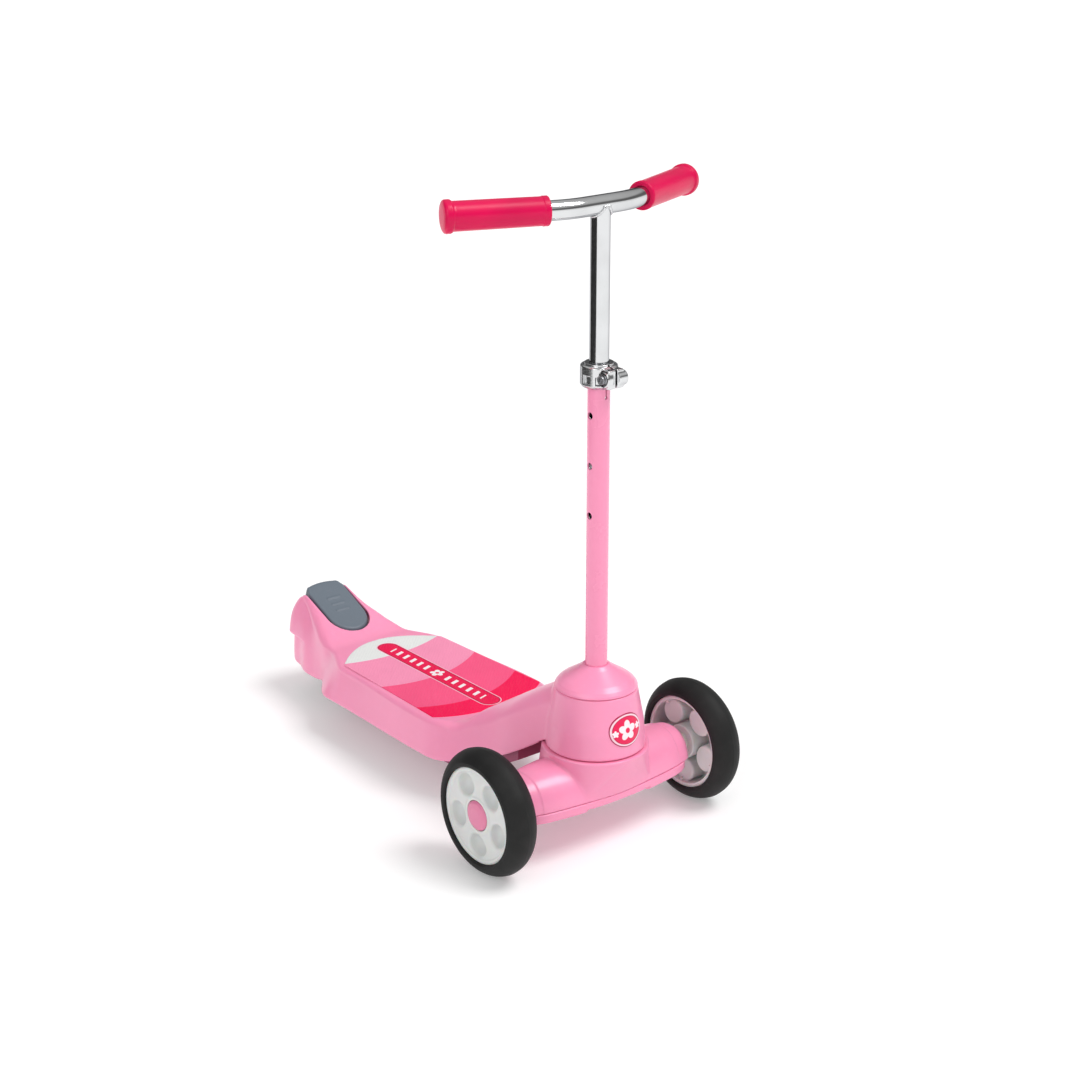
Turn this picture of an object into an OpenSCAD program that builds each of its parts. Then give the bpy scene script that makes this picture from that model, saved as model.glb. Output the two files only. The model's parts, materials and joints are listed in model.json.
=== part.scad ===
// Toddler kick scooter: two steered front wheels, one rear wheel under a fender brake.
// +X forward, +Y to the rider's left, +Z up, floor at z = 0, origin under the middle of the length.

/* [Front wheels] */
// Diameter over the front tyres
front_tyre_d = 131.6; // [130:0.2:133]
// Width of a front tyre
front_tyre_w = 35; // [33:0.5:36]
// Distance between the two front tyres' middle planes
front_track = 272.4; // [271:0.2:276]
// Diameter where the tyre sits on the hub
hub_d = 100.6; // [98:0.2:102]
// Diameter of the front axle rod
axle_d = 8; // [8:0.5:9]

/* [Rear wheel] */
// Diameter of the rear wheel
rear_tyre_d = 84; // [82:0.5:84]
// Width of the rear tyre
rear_tyre_w = 30; // [26:1:32]
// Distance from the front axle back to the rear axle
wheelbase = 455; // [453:1:457]

/* [Deck] */
// Height of the standing surface above the floor
deck_h = 87; // [86:0.5:88]
// Half width of the deck's top at its front
deck_half = 80; // [78:1:81]
// Height of the deck's lower edge above the floor
deck_low = 45; // [44:1:46]
// Wall thickness of the plastic shells
wall = 3; // [2.8:0.1:3.2]
// Distance from the front axle back to the fender's rear
rear_reach = 515; // [514:0.5:516]
// Height of the fender's cheeks
fender_h = 128.5; // [127.5:0.5:129]

/* [Steering] */
// Outside diameter of the steering column tube
column_d = 22.2; // [22:0.1:22.4]
// Wall of the column tube
column_wall = 1.5; // [1.4:0.05:1.5]
// Height of the column's upper end
column_top = 496; // [490:1:498]
// Height of the middle locating hole
hole_z = 398.7; // [396:0.1:401]
// Distance between locating holes
hole_pitch = 50.8; // [50:0.1:52]
// Diameter of the chrome stem and crossbar
stem_d = 19.05; // [19.05]
// Height of the crossbar's middle line
bar_z = 652.5; // [648:0.5:658]
// Backward sweep of each half of the crossbar, in degrees
bar_sweep = 22.5; // [20:0.5:24]

/* [Head] */
// Height of the seam between the axle housing and the fixed ring
low_seam = 103; // [102.5:0.1:103.5]
// Height of the seam under the turning cap
top_seam = 166.5; // [166:0.1:167]
// Radius of the axle arms
arm_r = 29.5; // [29:0.1:30]
// Height of the axle arms' middle line
arm_z = 62; // [61.5:0.1:62.5]

/* [Hidden] */
$fn = 96;
front_r = front_tyre_d / 2;
front_x = (rear_reach - front_r) / 2;
rear_r = rear_tyre_d / 2;
half_track = front_track / 2;
axis_u = 3;
running = 0.05;
column_r = column_d / 2;
bore_r = column_r - column_wall;
stem_r = stem_d / 2;
axle_r = axle_d / 2;
hub_r = hub_d / 2;
arm_end = 113;
split_z = arm_z - 1.6;
lip_z = arm_z - 11.3;
pin_u = -414;
pin_z = 78;
pin_r = 2.5;
slot_half = 26.5;
pedal_half = 24.5;
tip_u = -421;
tip_z = 93.5;
crease_u = -499;
crease_z = 128;
wheel_face = front_tyre_w / 2 - 3;
bend_r = 94;
bend_y = 38.7;
screw_us = [-366, -270, -160];

// Smooth rise from 0 at station a to 1 at station b.
function rise(a, b, u) =
    let (t = max(0, min(1, (u - a) / (b - a))))
    t * t * (3 - 2 * t);

// Straight rise above x = 0, eased in over a width k to each side.
function ramp(x, k) = x < -k ? 0 : x > k ? x : (x + k) * (x + k) / (4 * k);

// How far the shell's rounded rear has closed in, 1 for the full section.
function closing(u) =
    let (t = max(0, min(1, (20 - rear_reach - u) / 20)))
    0.53 + 0.47 * sqrt(1 - t * t);

// Height of the shell's crest at a station.
function crest(u) =
    let (back = (fender_h - deck_h) / 94 * ramp(-406 - u, 14))
    let (rear = 86 + sqrt(max(0, u + rear_reach) / 0.0115))
    let (t = max(0, min(1, (u + 153) / 128)))
    let (neck = (top_seam - 0.5 - deck_h) * (1 - pow(1 - t, 1.16)) * (0.3 + 0.7 * rise(-153, -125, u)))
    min(rear, deck_h + back + neck);

// Height of the shell's lower edge at a station.
function skirt(u) =
    deck_low + 56 * pow(max(0, (u + 165) / 130), 1.64) - 8 * rise(-400, -440, u);

// Half width of the shell at its shoulder.
function top_half(u) =
    let (fender = 29.5 + 21.5 * rise(-496, -410, u))
    let (deck = (deck_half - 59) * rise(-412, -350, u) + 8 * rise(-350, -200, u))
    let (neck = 29 * rise(-190, -84, u) + 12 * rise(-90, -16, u))
    (fender + deck - neck) * closing(u);

// Half width of the shell at its lower edge.
function low_half(u) =
    let (fender = 44 + 7 * rise(-500, -450, u))
    let (deck = (deck_half - 49) * rise(-432, -370, u) + 3 * rise(-350, -200, u))
    let (neck = 30 * rise(-180, -80, u) + 12 * rise(-85, -16, u))
    (fender + deck - neck) * closing(u);

// Width and height of the rounded shoulder.
function round_w(u) = 8 + 30 * rise(-170, -95, u) - 8 * rise(-80, -20, u)
    + 9 * rise(-405, -432, u) * (1 - rise(-448, -488, u));
function round_h(u) = 7 + 17 * rise(-165, -100, u) + 3 * rise(-420, -470, u)
    + 8 * rise(-405, -432, u) * (1 - rise(-448, -488, u));

// How far the side bulges out below the shoulder, 1 for a straight side.
function bulge(u) = 1 + 1.4 * rise(-440, -480, u);

// Right half of a section, from the lower edge up and over to the middle.
function half_section(u, gap, n) =
    let (a = low_half(u) - gap)
    let (b = top_half(u) - gap)
    let (top = crest(u) - gap)
    let (low = skirt(u))
    let (rw = min(round_w(u), b * 0.9))
    let (rh = min(round_h(u), (top - low) * 0.6))
    concat(
        [for (i = [0 : 3]) [a + (b - a) * pow(i / 4, bulge(u)), low + (top - rh - low) * i / 4]],
        [for (i = [0 : n]) [b - rw * (1 - cos(90 * i / n)), top - rh * (1 - sin(90 * i / n))]],
        [[(b - rw) / 2, top]]
    );

// Whole section loop: the outer side over the top and the inner side back.
function shell_section(u, hollow, n) =
    let (outer = half_section(u, 0, n))
    let (inner = half_section(u, wall, n))
    let (low = skirt(u))
    let (right = [for (p = inner) [p[0], hollow ? p[1] : low]])
    let (m = len(outer))
    concat(
        [for (p = outer) [p[0], p[1]]],
        [[0, crest(u)]],
        [for (i = [m - 1 : -1 : 0]) [-outer[i][0], outer[i][1]]],
        [for (p = right) [-p[0], p[1]]],
        [[0, hollow ? crest(u) - wall : low]],
        [for (i = [m - 1 : -1 : 0]) [right[i][0], right[i][1]]]
    );

// Solid skin through a list of closed sections of equal length, with flat ends.
module skin(sections, ends) {
    k = len(sections);
    n = len(sections[0]);
    points = [for (s = sections) for (p = s) p];
    sides = [for (i = [0 : k - 2]) for (j = [0 : n - 1])
        let (q = (j + 1) % n)
        each [[i * n + j, i * n + n + j, i * n + n + q], [i * n + j, i * n + n + q, i * n + q]]];
    last = [for (f = ends) [for (j = f) (k - 1) * n + j]];
    first = [for (f = ends) [for (j = [len(f) - 1 : -1 : 0]) f[j]]];
    polyhedron(points = points, faces = concat(first, sides, last), convexity = 10);
}

// End triangles of a folded section: outer point j faces inner point n - 1 - j.
function folded_ends(n) =
    let (half = n / 2 - 1)
    [for (j = [0 : half - 1])
        let (q = n - 1 - j)
        each j < half / 2
            ? [[q, j + 1, j], [q, q - 1, j + 1]]
            : [[q - 1, j + 1, j], [q, q - 1, j]]];

// End triangles of a round section.
function round_ends(n) = [for (j = [1 : n - 2]) [j + 1, j, 0]];

// Places things given from the front axle, with u rearward negative.
module from_axle() {
    translate([front_x, 0, 0]) children();
}

// Rod or tube lying along Y between two positions.
module across(r, y0, y1, u = 0, z = 0) {
    translate([u, y1, z]) rotate([90, 0, 0]) cylinder(r = r, h = y1 - y0);
}

// Plate drawn in the X and Z plane, running along Y.
module side_plate(y0, y1) {
    translate([0, y1, 0]) rotate([90, 0, 0]) linear_extrude(y1 - y0) children();
}

// Turned shape about a wheel's axis; the drawing's first axis is radius, its second is Y.
module turned(z) {
    translate([0, 0, z]) rotate([-90, 0, 0]) rotate_extrude() children();
}

// Upper moulding: deck, neck, fixed head ring and rear fender.
module deck_shell() {
    stations = concat(
        [for (i = [0 : 4]) [-rear_reach + 0.25 + i * 3.2, false]],
        [for (i = [0 : 12]) [-497 + i * 9, true]],
        [for (i = [0 : 4]) [-365 + i * 38, true]],
        [for (i = [0 : 15]) [-187 + i * 10.7, true]]
    );
    sections = [for (s = stations) [for (p = shell_section(s[0], s[1], 6)) [s[0], p[0], p[1]]]];
    color([1, 0.63, 0.77])
    from_axle() difference() {
        union() {
            skin(sections, folded_ends(len(sections[0])));
            for (u = screw_us) for (y = [-30, 30]) {
                translate([u, y, 55.9]) cylinder(r = 4.5, h = deck_h - wall + 1 - 55.9);
            }
            translate([axis_u, 0, 0]) rotate_extrude() polygon([
                [30, low_seam + 1], [51, low_seam + 1], [49.9, 113.4], [48.7, 130],
                [45.9, 144.3], [43.2, 158.6], [42, top_seam - 0.5], [30, top_seam - 0.5]]);
        }
        translate([axis_u, 0, 0]) rotate_extrude() polygon([
            [0, low_seam + 8], [46.3, low_seam + 8], [45, 130], [42.2, 144.3],
            [39.6, top_seam - 7], [0, top_seam - 7]]);
        translate([axis_u, 0, low_seam]) cylinder(r = 14.1, h = 90);
        translate([0, 0, 60]) linear_extrude(90) pedal_outline(slot_half, tip_u + 2.5, crease_u);
        translate([-rear_reach - 5, -slot_half, 90]) cube([22, 2 * slot_half, 60]);
        translate([axis_u, 0, 50]) cylinder(r = 57, h = low_seam + 0.5 - 50);
        for (u = screw_us) for (y = [-30, 30]) {
            translate([u, y, 40]) cylinder(r = 1.6, h = 24);
        }
    }
    color([1, 0.63, 0.77])
    from_axle() difference() {
        union() {
            translate([axis_u, 0, low_seam + 1]) cylinder(r = 34, h = 7);
            translate([axis_u, 0, top_seam - 7]) cylinder(r = 34, h = 6.5);
        }
        translate([axis_u, 0, low_seam]) cylinder(r = 14.1, h = 90);
    }
}

// Plan shape of the brake pedal and of the slot around it.
module pedal_outline(half, front_u, back_u) {
    translate([back_u, -half]) square([front_u - half - back_u, 2 * half]);
    intersection() {
        translate([front_u - half, 0]) circle(r = half);
        translate([front_u - half - 1, -half]) square([half + 2, 2 * half]);
    }
}

// Height of the lower moulding's underside, which hangs below the neck.
function keel(u) = skirt(u) + 1.2 - 12 * rise(-172, -130, u);

// Lower moulding: closes the deck and the neck from below and carries the rear axle.
module underframe() {
    plan = [for (i = [0 : 26]) let (u = -404 + i * 13) [u, low_half(u) - wall - 4.2]];
    outline = concat(plan, [for (i = [26 : -1 : 0]) [plan[i][0], -plan[i][1]]]);
    rail = [for (i = [0 : 26]) -404 + i * 13];
    color([0.86, 0.5, 0.64])
    from_axle() difference() {
        union() {
            intersection() {
                side_plate(-90, 90) polygon(concat(
                    [for (u = rail) [u, keel(u)]],
                    [for (i = [26 : -1 : 0]) [rail[i], skirt(rail[i]) + 4.2]]));
                difference() {
                    translate([0, 0, 30]) linear_extrude(90) polygon(outline);
                    intersection() {
                        side_plate(-90, 90) polygon(concat(
                            [for (u = rail) [u, keel(u) + 3]],
                            [for (i = [26 : -1 : 0]) [rail[i], 110]]));
                        translate([-145, -40, 30]) cube([73, 80, 90]);
                    }
                }
            }
            for (s = [-1, 1]) {
                side_plate(min(s * 24, s * 30), max(s * 24, s * 30)) polygon([
                    [-380, 48.5], [-380, 60], [pin_u + 8, 70], [pin_u + 6, pin_z + 4],
                    [pin_u - 6, pin_z + 4], [pin_u - 8, 62], [-wheelbase, 51],
                    [-wheelbase - 9, 46], [-wheelbase - 9, 34], [-wheelbase + 8, 34], [-404, 44]]);
            }
            side_plate(-30, 30) polygon([[-386, 47.5], [-386, 62], [-382, 62], [-382, 47.5]]);
            for (u = screw_us) for (y = [-30, 30]) {
                translate([u, y, skirt(u) + 1.2]) cylinder(r = 5, h = 9);
            }
            for (y = [-48, 0, 48]) {
                translate([-360, y - 1.2, 47.5]) cube([215, 2.4, 9]);
            }
            for (u = [-325, -215]) {
                translate([u, -60, 47.5]) cube([2.4, 120, 9]);
            }
        }
        across(axle_r + running, -60, 60, -wheelbase, rear_r);
        across(pin_r + running, -60, 60, pin_u, pin_z);
        for (u = screw_us) for (y = [-30, 30]) {
            translate([u, y, 40]) cylinder(r = 1.7, h = 30);
            translate([u, y, 40]) cylinder(r = 3.6, h = skirt(u) + 4.2 - 40);
        }
    }
}

// Printed grip sheet on the standing surface.
module deck_mat() {
    color([0.98, 0.35, 0.55])
    from_axle() translate([0, 0, deck_h + 0.02]) linear_extrude(0.8) {
        polygon(concat(
            [for (i = [0 : 12]) mat_edge(i / 12, 1)],
            [for (i = [12 : -1 : 0]) mat_edge(i / 12, -1)]
        ));
    }
}

// Edge point of the grip sheet, from the rear apex to the front apex.
function mat_edge(t, side) =
    let (u = -389 + 234 * (1 - cos(180 * t)) / 2)
    let (back = pow(max(0, min(1, (u + 389.5) / 38)), 0.5))
    let (front = pow(max(0, min(1, (-154.5 - u) / 22)), 0.42))
    [u, side * (66 + 8 * (u + 389) / 234) * min(back, front)];

// Oval badge on the front of the head ring.
module head_badge() {
    color([0.98, 0.1, 0.4])
    from_axle() intersection() {
        translate([0, 0, 133]) scale([1, 1, 17 / 21]) rotate([0, 90, 0]) cylinder(r = 21, h = 80);
        translate([axis_u, 0, 0]) rotate_extrude() polygon([
            [49.87, 114], [51.3, 114], [50.1, 130.3], [47.3, 144.6], [45.7, 153],
            [44.27, 153], [45.95, 144.35], [48.76, 130.03]]);
    }
}

// Flanged bearing bush in the head ring's upper plate.
module upper_bush() {
    color([0.92, 0.9, 0.86])
    from_axle() translate([axis_u, 0, top_seam - 7]) difference() {
        union() {
            cylinder(r = 14, h = 6.6);
            translate([0, 0, 6.6]) cylinder(r = 17, h = 1.4);
        }
        translate([0, 0, -1]) cylinder(r = column_r + running, h = 20);
    }
}

// Flanged bearing bush in the head ring's lower plate, taking the deck's weight.
module lower_bush() {
    color([0.92, 0.9, 0.86])
    from_axle() translate([axis_u, 0, low_seam + 0.04]) difference() {
        union() {
            cylinder(r = 22, h = 0.9);
            cylinder(r = 14, h = 7.9);
        }
        translate([0, 0, -1]) cylinder(r = column_r + running, h = 20);
    }
}

// Rear axle rod.
module rear_axle() {
    color([0.75, 0.76, 0.78])
    from_axle() across(axle_r, -35, 35, -wheelbase, rear_r);
}

// Push-on nuts at both ends of the rear axle.
module rear_axle_nuts() {
    color([0.7, 0.71, 0.73])
    from_axle() for (s = [-1, 1]) difference() {
        across(6.5, min(s * 30.1, s * 34), max(s * 30.1, s * 34), -wheelbase, rear_r);
        across(axle_r + 0.02, -40, 40, -wheelbase, rear_r);
    }
}

// Hinge pin of the brake pedal, with a head at each end.
module brake_pin() {
    color([0.75, 0.76, 0.78])
    from_axle() {
        across(pin_r, -31.5, 31.5, pin_u, pin_z);
        across(4.2, -32.5, -30.2, pin_u, pin_z);
        across(4.2, 30.2, 32.5, pin_u, pin_z);
    }
}

// Return spring of the brake pedal: a wire coil around the hinge pin with two short legs.
module brake_spring() {
    turns = 4;
    per = 14;
    coil = [for (i = [0 : turns * per])
        let (a = 360 * i / per - 60)
        [3.9 * cos(a), 12.6 + 1.9 * i / per, 3.9 * sin(a)]];
    color([0.6, 0.61, 0.63])
    from_axle() translate([pin_u, 0, pin_z]) wire(coil, 0.55);
}

// Wire of round section along a coil whose axis is Y.
module wire(path, r) {
    n = 8;
    skin([for (p = path)
        let (d = sqrt(p[0] * p[0] + p[2] * p[2]))
        [for (j = [0 : n - 1]) let (c = r * cos(360 * j / n)) let (s = r * sin(360 * j / n))
            [p[0] + p[0] / d * c, p[1] + s, p[2] + p[2] / d * c]]], round_ends(n));
}

// Screws from below that hold the underframe in the deck shell.
module deck_screws() {
    color([0.55, 0.56, 0.58])
    from_axle() for (u = screw_us) for (y = [-30, 30]) translate([u, y, 0]) difference() {
        union() {
            translate([0, 0, skirt(u) + 1.6]) cylinder(r = 3.3, h = 2.5);
            translate([0, 0, skirt(u) + 3]) cylinder(r = 1.5, h = 11);
        }
        translate([-0.5, -2, skirt(u) + 1]) cube([1, 4, 1.6]);
        translate([-2, -0.5, skirt(u) + 1]) cube([4, 1, 1.6]);
    }
}

// Half width of the arms and the lip at a distance from the middle.
function arm_half(y) = 42.2 - 0.00112 * y * y;

// Height of the arms' crest at a distance from the middle.
function arm_crest(y) = arm_z + arm_r + 4.5 - 5.5 * pow(max(0, abs(y) - 50) / 63, 2);

// Body that runs through both arms, drawn in all round by an inset.
module arm_body(inset) {
    ends = [0, 50, 72, 92, 106, arm_end - 5 * min(1, inset)];
    hull() for (s = [-1, 1]) for (y = ends) {
        w = arm_half(y) - inset - (y > 106 ? 1.5 : 0);
        h = arm_crest(y) - inset - 50 - (y > 106 ? 1.5 : 0);
        side_plate(s * y - 0.01, s * y + 0.01) polygon([for (i = [0 : 20])
            let (c = cos(9 * i))
            [w * sign(c) * pow(abs(c), 0.87), 50 + h * pow(sin(9 * i), 0.87)]]);
    }
}

// Everything above the flat seam between the housing and its lower cover.
module above_split() {
    translate([-90, -160, split_z + 0.15]) cube([180, 320, 80]);
}

// Drum of the axle housing, wide and flat at its foot and round at its top.
module drum(inset, top_z) {
    hull() {
        translate([axis_u, 0, top_z - 0.5]) cylinder(r = 54.6 - inset, h = 0.5, $fn = 64);
        translate([0, 0, 58]) linear_extrude(1) intersection() {
            translate([-152 + inset, 0]) circle(r = 194.3 - 2 * inset, $fn = 180);
            translate([152 - inset, 0]) circle(r = 194.3 - 2 * inset, $fn = 180);
            square([90, 88 - 2 * inset], center = true);
        }
    }
}

// Turning upper shell with the two axle arms and the column socket.
module axle_housing() {
    color([1, 0.63, 0.77])
    from_axle() difference() {
        intersection() {
            union() {
                difference() {
                    union() {
                        drum(0, low_seam);
                        arm_body(0);
                    }
                    drum(wall, low_seam - 4);
                    arm_body(wall);
                }
                intersection() {
                    union() {
                        for (s = [-1, 1]) {
                            translate([-45, s * 59.5 - 1.5, 50]) cube([90, 3, 60]);
                            for (x = [-20, 20]) {
                                translate([x, s * 76, 50]) cylinder(r = 4.5, h = 24);
                            }
                        }
                    }
                    arm_body(1);
                }
                translate([axis_u, 0, 71]) cylinder(r = 15, h = low_seam - 71);
            }
            above_split();
        }
        translate([axis_u, 0, 74]) cylinder(r = column_r + running, h = 60);
        across(axle_r + running, -140, 140, 0, front_r);
        across(2.6, -40, 40, axis_u, 86);
        for (s = [-1, 1]) for (x = [-20, 20]) {
            translate([x, s * 76, 30]) cylinder(r = 1.6, h = 38);
        }
    }
}

// Plan of the lower cover, drawn in by an inset.
module lip_plan(inset) {
    ends = [for (i = [0 : 16]) (arm_end - inset) * (i / 8 - 1)];
    polygon(concat(
        [for (y = ends) [arm_half(y) + 0.4 - inset, y]],
        [for (i = [16 : -1 : 0]) [inset - 0.4 - arm_half(ends[i]), ends[i]]]));
}

// Turning lower shell, whose edge is the lip along the front of both arms.
module housing_cover() {
    color([1, 0.63, 0.77])
    from_axle() difference() {
        union() {
            difference() {
                translate([0, 0, lip_z]) linear_extrude(split_z - 0.15 - lip_z) lip_plan(0);
                translate([0, 0, lip_z + wall]) linear_extrude(20) lip_plan(wall);
            }
            for (s = [-1, 1]) for (x = [-20, 20]) {
                translate([x, s * 76, lip_z]) cylinder(r = 5, h = split_z - 0.15 - lip_z);
            }
        }
        for (s = [-1, 1]) {
            for (x = [-20, 20]) {
                translate([x, s * 76, 40]) cylinder(r = 1.7, h = 30);
                translate([x, s * 76, 40]) cylinder(r = 3.6, h = lip_z + 2.6 - 40);
            }
            translate([arm_half(38.5), s * 38.5, 40]) cylinder(r = 2.4, h = lip_z + 2 - 40, $fn = 32);
        }
    }
}

// Screws from below that join the housing and its cover.
module housing_screws() {
    color([0.55, 0.56, 0.58])
    from_axle() for (s = [-1, 1]) for (x = [-20, 20]) translate([x, s * 76, 0]) difference() {
        union() {
            translate([0, 0, lip_z + 0.2]) cylinder(r = 3.3, h = 2.4);
            translate([0, 0, lip_z + 2]) cylinder(r = 1.5, h = 14);
        }
        translate([-0.5, -2, lip_z]) cube([1, 4, 1.4]);
        translate([-2, -0.5, lip_z]) cube([4, 1, 1.4]);
    }
}

// Conical cap that turns with the column above the ring.
module head_cap() {
    color([1, 0.63, 0.77])
    from_axle() translate([axis_u, 0, 0]) rotate_extrude() polygon([
        [42.3, top_seam + 0.2], [41.2, 169.2], [38.8, 172.2], [34, 176], [25.5, 181.2], [17, 186.7],
        [13.2, 189.8], [column_r + 0.03, 189.8], [column_r + 0.03, 181.5], [20, 181], [29, 175.4],
        [34.6, 171.4], [38.2, top_seam + 0.2]]);
}

// Pink steering tube with three locating holes and a clamping slit.
module column_tube() {
    color([1, 0.6, 0.75])
    from_axle() translate([axis_u, 0, 0]) difference() {
        translate([0, 0, 74.2]) cylinder(r = column_r, h = column_top - 74.2);
        translate([0, 0, 73]) cylinder(r = bore_r, h = column_top);
        for (i = [-1, 0, 1]) {
            across(3.5, -20, 0, 0, hole_z + i * hole_pitch);
        }
        across(2.6, -30, 30, 0, 86);
        translate([0, -1, column_top - 28]) cube([20, 2, 40]);
        translate([0, 0, column_top - 28]) rotate([0, 90, 0]) cylinder(r = 1.8, h = 20);
    }
}

// Cross bolt with its nut, locking the column in the housing's socket.
module column_bolt() {
    color([0.7, 0.71, 0.73])
    from_axle() {
        across(2.5, -15, 19.5, axis_u, 86);
        translate([axis_u, -15, 86]) rotate([90, 0, 0]) cylinder(r = 4.2, h = 3);
        translate([axis_u, 18.6, 86]) rotate([90, 30, 0]) cylinder(r = 4.6, h = 3.4, $fn = 6);
    }
}

// Front axle rod through both arms.
module front_axle() {
    color([0.75, 0.76, 0.78])
    from_axle() across(axle_r, -half_track - 12, half_track + 12, 0, front_r);
}

// Spacer washers between the arms and the wheels.
module axle_washers() {
    color([0.7, 0.71, 0.73])
    from_axle() for (s = [-1, 1]) difference() {
        across(9, min(s * 113.1, s * 116.1), max(s * 113.1, s * 116.1), 0, front_r);
        across(axle_r + 0.03, -130, 130, 0, front_r);
    }
}

// Push-on nuts that keep the front wheels on the axle.
module axle_nuts() {
    color([0.7, 0.71, 0.73])
    from_axle() for (s = [-1, 1]) difference() {
        across(7, min(s * 144.4, s * 147.6), max(s * 144.4, s * 147.6), 0, front_r);
        across(axle_r + 0.02, -160, 160, 0, front_r);
    }
}

// Split collar that pinches the column onto the stem.
module clamp_collar() {
    color([0.85, 0.86, 0.88])
    from_axle() translate([axis_u, 0, 0]) difference() {
        union() {
            translate([0, 0, 477.6]) cylinder(r1 = 16, r2 = 18.3, h = 3);
            translate([0, 0, 480.6]) cylinder(r = 18.3, h = 18);
            translate([0, 0, 498.6]) cylinder(r1 = 18.3, r2 = 17, h = 1.4);
            translate([0, 0, 500]) cylinder(r = 14.4, h = 1.5);
            translate([0, -10, 480]) cube([25, 20, 18.5]);
            translate([24, 5, 489]) rotate([-90, 0, 0]) cylinder(r = 7.4, h = 8);
        }
        translate([0, 0, 470]) cylinder(r = column_r + 0.02, h = column_top - 470 + 0.3);
        translate([0, 0, 470]) cylinder(r = stem_r + 0.6, h = 40);
        translate([5, -1.1, 470]) cube([30, 2.2, 40]);
        translate([18, -14, 489]) rotate([-90, 0, 0]) cylinder(r = 2.6, h = 40);
        translate([18, -10.1, 489]) rotate([90, 0, 0]) cylinder(r = 4.6, h = 9);
        for (a = [-82, -38]) {
            rotate([0, 0, a]) translate([15.2, -4.2, 482]) cube([8, 8.4, 8.5]);
        }
    }
}

// Bolt and nut across the collar's ears.
module clamp_bolt() {
    color([0.8, 0.81, 0.83])
    from_axle() translate([axis_u + 18, 0, 489]) {
        across(2.5, -12, 15.8, 0, 0);
        translate([0, -10.1, 0]) rotate([90, 0, 0]) difference() {
            cylinder(r = 4.4, h = 4);
            translate([0, 0, 2]) cylinder(r = 2, h = 4, $fn = 6);
        }
        translate([0, 17, 0]) rotate([90, 0, 0]) cylinder(r = 4.6, h = 3.8, $fn = 6);
    }
}

// Chrome tube that slides in the column, coped to the crossbar.
module stem_tube() {
    color([0.86, 0.87, 0.9])
    from_axle() difference() {
        translate([axis_u, 0, 318]) cylinder(r = stem_r, h = bar_z - 318);
        translate([axis_u, 0, 317]) cylinder(r = stem_r - 1.5, h = bar_z - 317 - 2);
        across(stem_r, -30, 30, axis_u, bar_z);
        for (i = [-1, 0, 1]) {
            translate([axis_u, 0, 0]) across(3.15, -20, 0, 0, hole_z + i * hole_pitch);
        }
    }
}

// Chrome crossbar, alike on both sides.
module crossbar() {
    color([0.86, 0.87, 0.9])
    from_axle() translate([axis_u, 0, bar_z]) {
        crossbar_half();
        mirror([0, 1, 0]) crossbar_half();
    }
}

// Left half of the crossbar: straight at the middle, then a bend and a straight swept end.
// The straight pieces reach a little into the bend, whose wall is a hair thinner.
module crossbar_half() {
    mid = bend_y - bend_r * tan(bar_sweep / 2);
    tube_across(0, mid + 0.5);
    translate([-bend_r, mid, 0]) rotate_extrude(angle = bar_sweep) translate([bend_r, 0]) {
        tube_ring(0.02);
    }
    swept(mid) tube_across(-0.5, 90);
}

// Cut end of the crossbar's tube.
module tube_ring(thin) {
    difference() {
        circle(r = stem_r - thin);
        circle(r = stem_r - 1.5 + thin);
    }
}

// Straight piece of the crossbar's tube along Y.
module tube_across(y0, y1) {
    translate([0, y1, 0]) rotate([90, 0, 0]) linear_extrude(y1 - y0) tube_ring(0);
}

// Frame at the end of the left bend, with Y along the swept part.
module swept(mid) {
    translate([-bend_r, mid, 0]) rotate([0, 0, bar_sweep]) translate([bend_r, 0, 0]) children();
}

// Rubber grip drawn on the left, closed at its outer end.
module grip() {
    tangent = bend_r * tan(bar_sweep / 2);
    mid = bend_y - tangent;
    translate([axis_u, 0, bar_z]) swept(mid) rotate([-90, 0, 0]) rotate_extrude() polygon([
        [stem_r + 0.02, 1], [13, 1], [13.5, 1.6], [13.7, 30], [14, 93], [15.2, 93.6], [15.7, 94.6],
        [15.7, 97.4], [15.2, 98.8], [13, 100.6], [9, 101.6], [0, 102], [0, 91], [stem_r + 0.02, 91]]);
}

// Left grip.
module grip_left() {
    color([0.92, 0.1, 0.36])
    from_axle() grip();
}

// Right grip.
module grip_right() {
    color([0.92, 0.1, 0.36])
    from_axle() mirror([0, 1, 0]) grip();
}

// Domed locking button behind the column's middle hole, drawn pressed in, clear of the column's bore.
module snap_button() {
    color([0.82, 0.83, 0.85])
    from_axle() translate([axis_u, -9.55, hole_z]) rotate([-90, 0, 0]) rotate_extrude() polygon(concat(
        [for (i = [0 : 6]) [3.1 * sin(15 * i), 1.4 * (1 - cos(15 * i))]],
        [[3.1, 5.9], [4.1, 5.9], [4.1, 7], [0, 7]]));
}

// Bent strip inside the stem that pushes the button out.
module button_spring() {
    color([0.6, 0.61, 0.63])
    from_axle() translate([axis_u, 0, hole_z]) rotate([90, 0, 90]) translate([0, 0, -2.5]) {
        linear_extrude(5) polygon([
            [-1.8, 6], [-2.3, 6], [-2.3, -6], [2.6, -36], [5.2, -36], [7.55, -6], [7.55, 6], [7, 6],
            [7, -6], [4.7, -35.4], [3.1, -35.4], [-1.8, -6]]);
    }
}

// Tyre of a front wheel, drawn about its own middle plane.
module front_tyre() {
    turned(front_r) difference() {
        intersection() {
            translate([front_r - 19, 0]) circle(r = 19);
            translate([hub_r + 0.02, -front_tyre_w / 2]) square([40, front_tyre_w]);
        }
        translate([hub_r - 1, -7]) square([3.4, 14]);
    }
}

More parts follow.
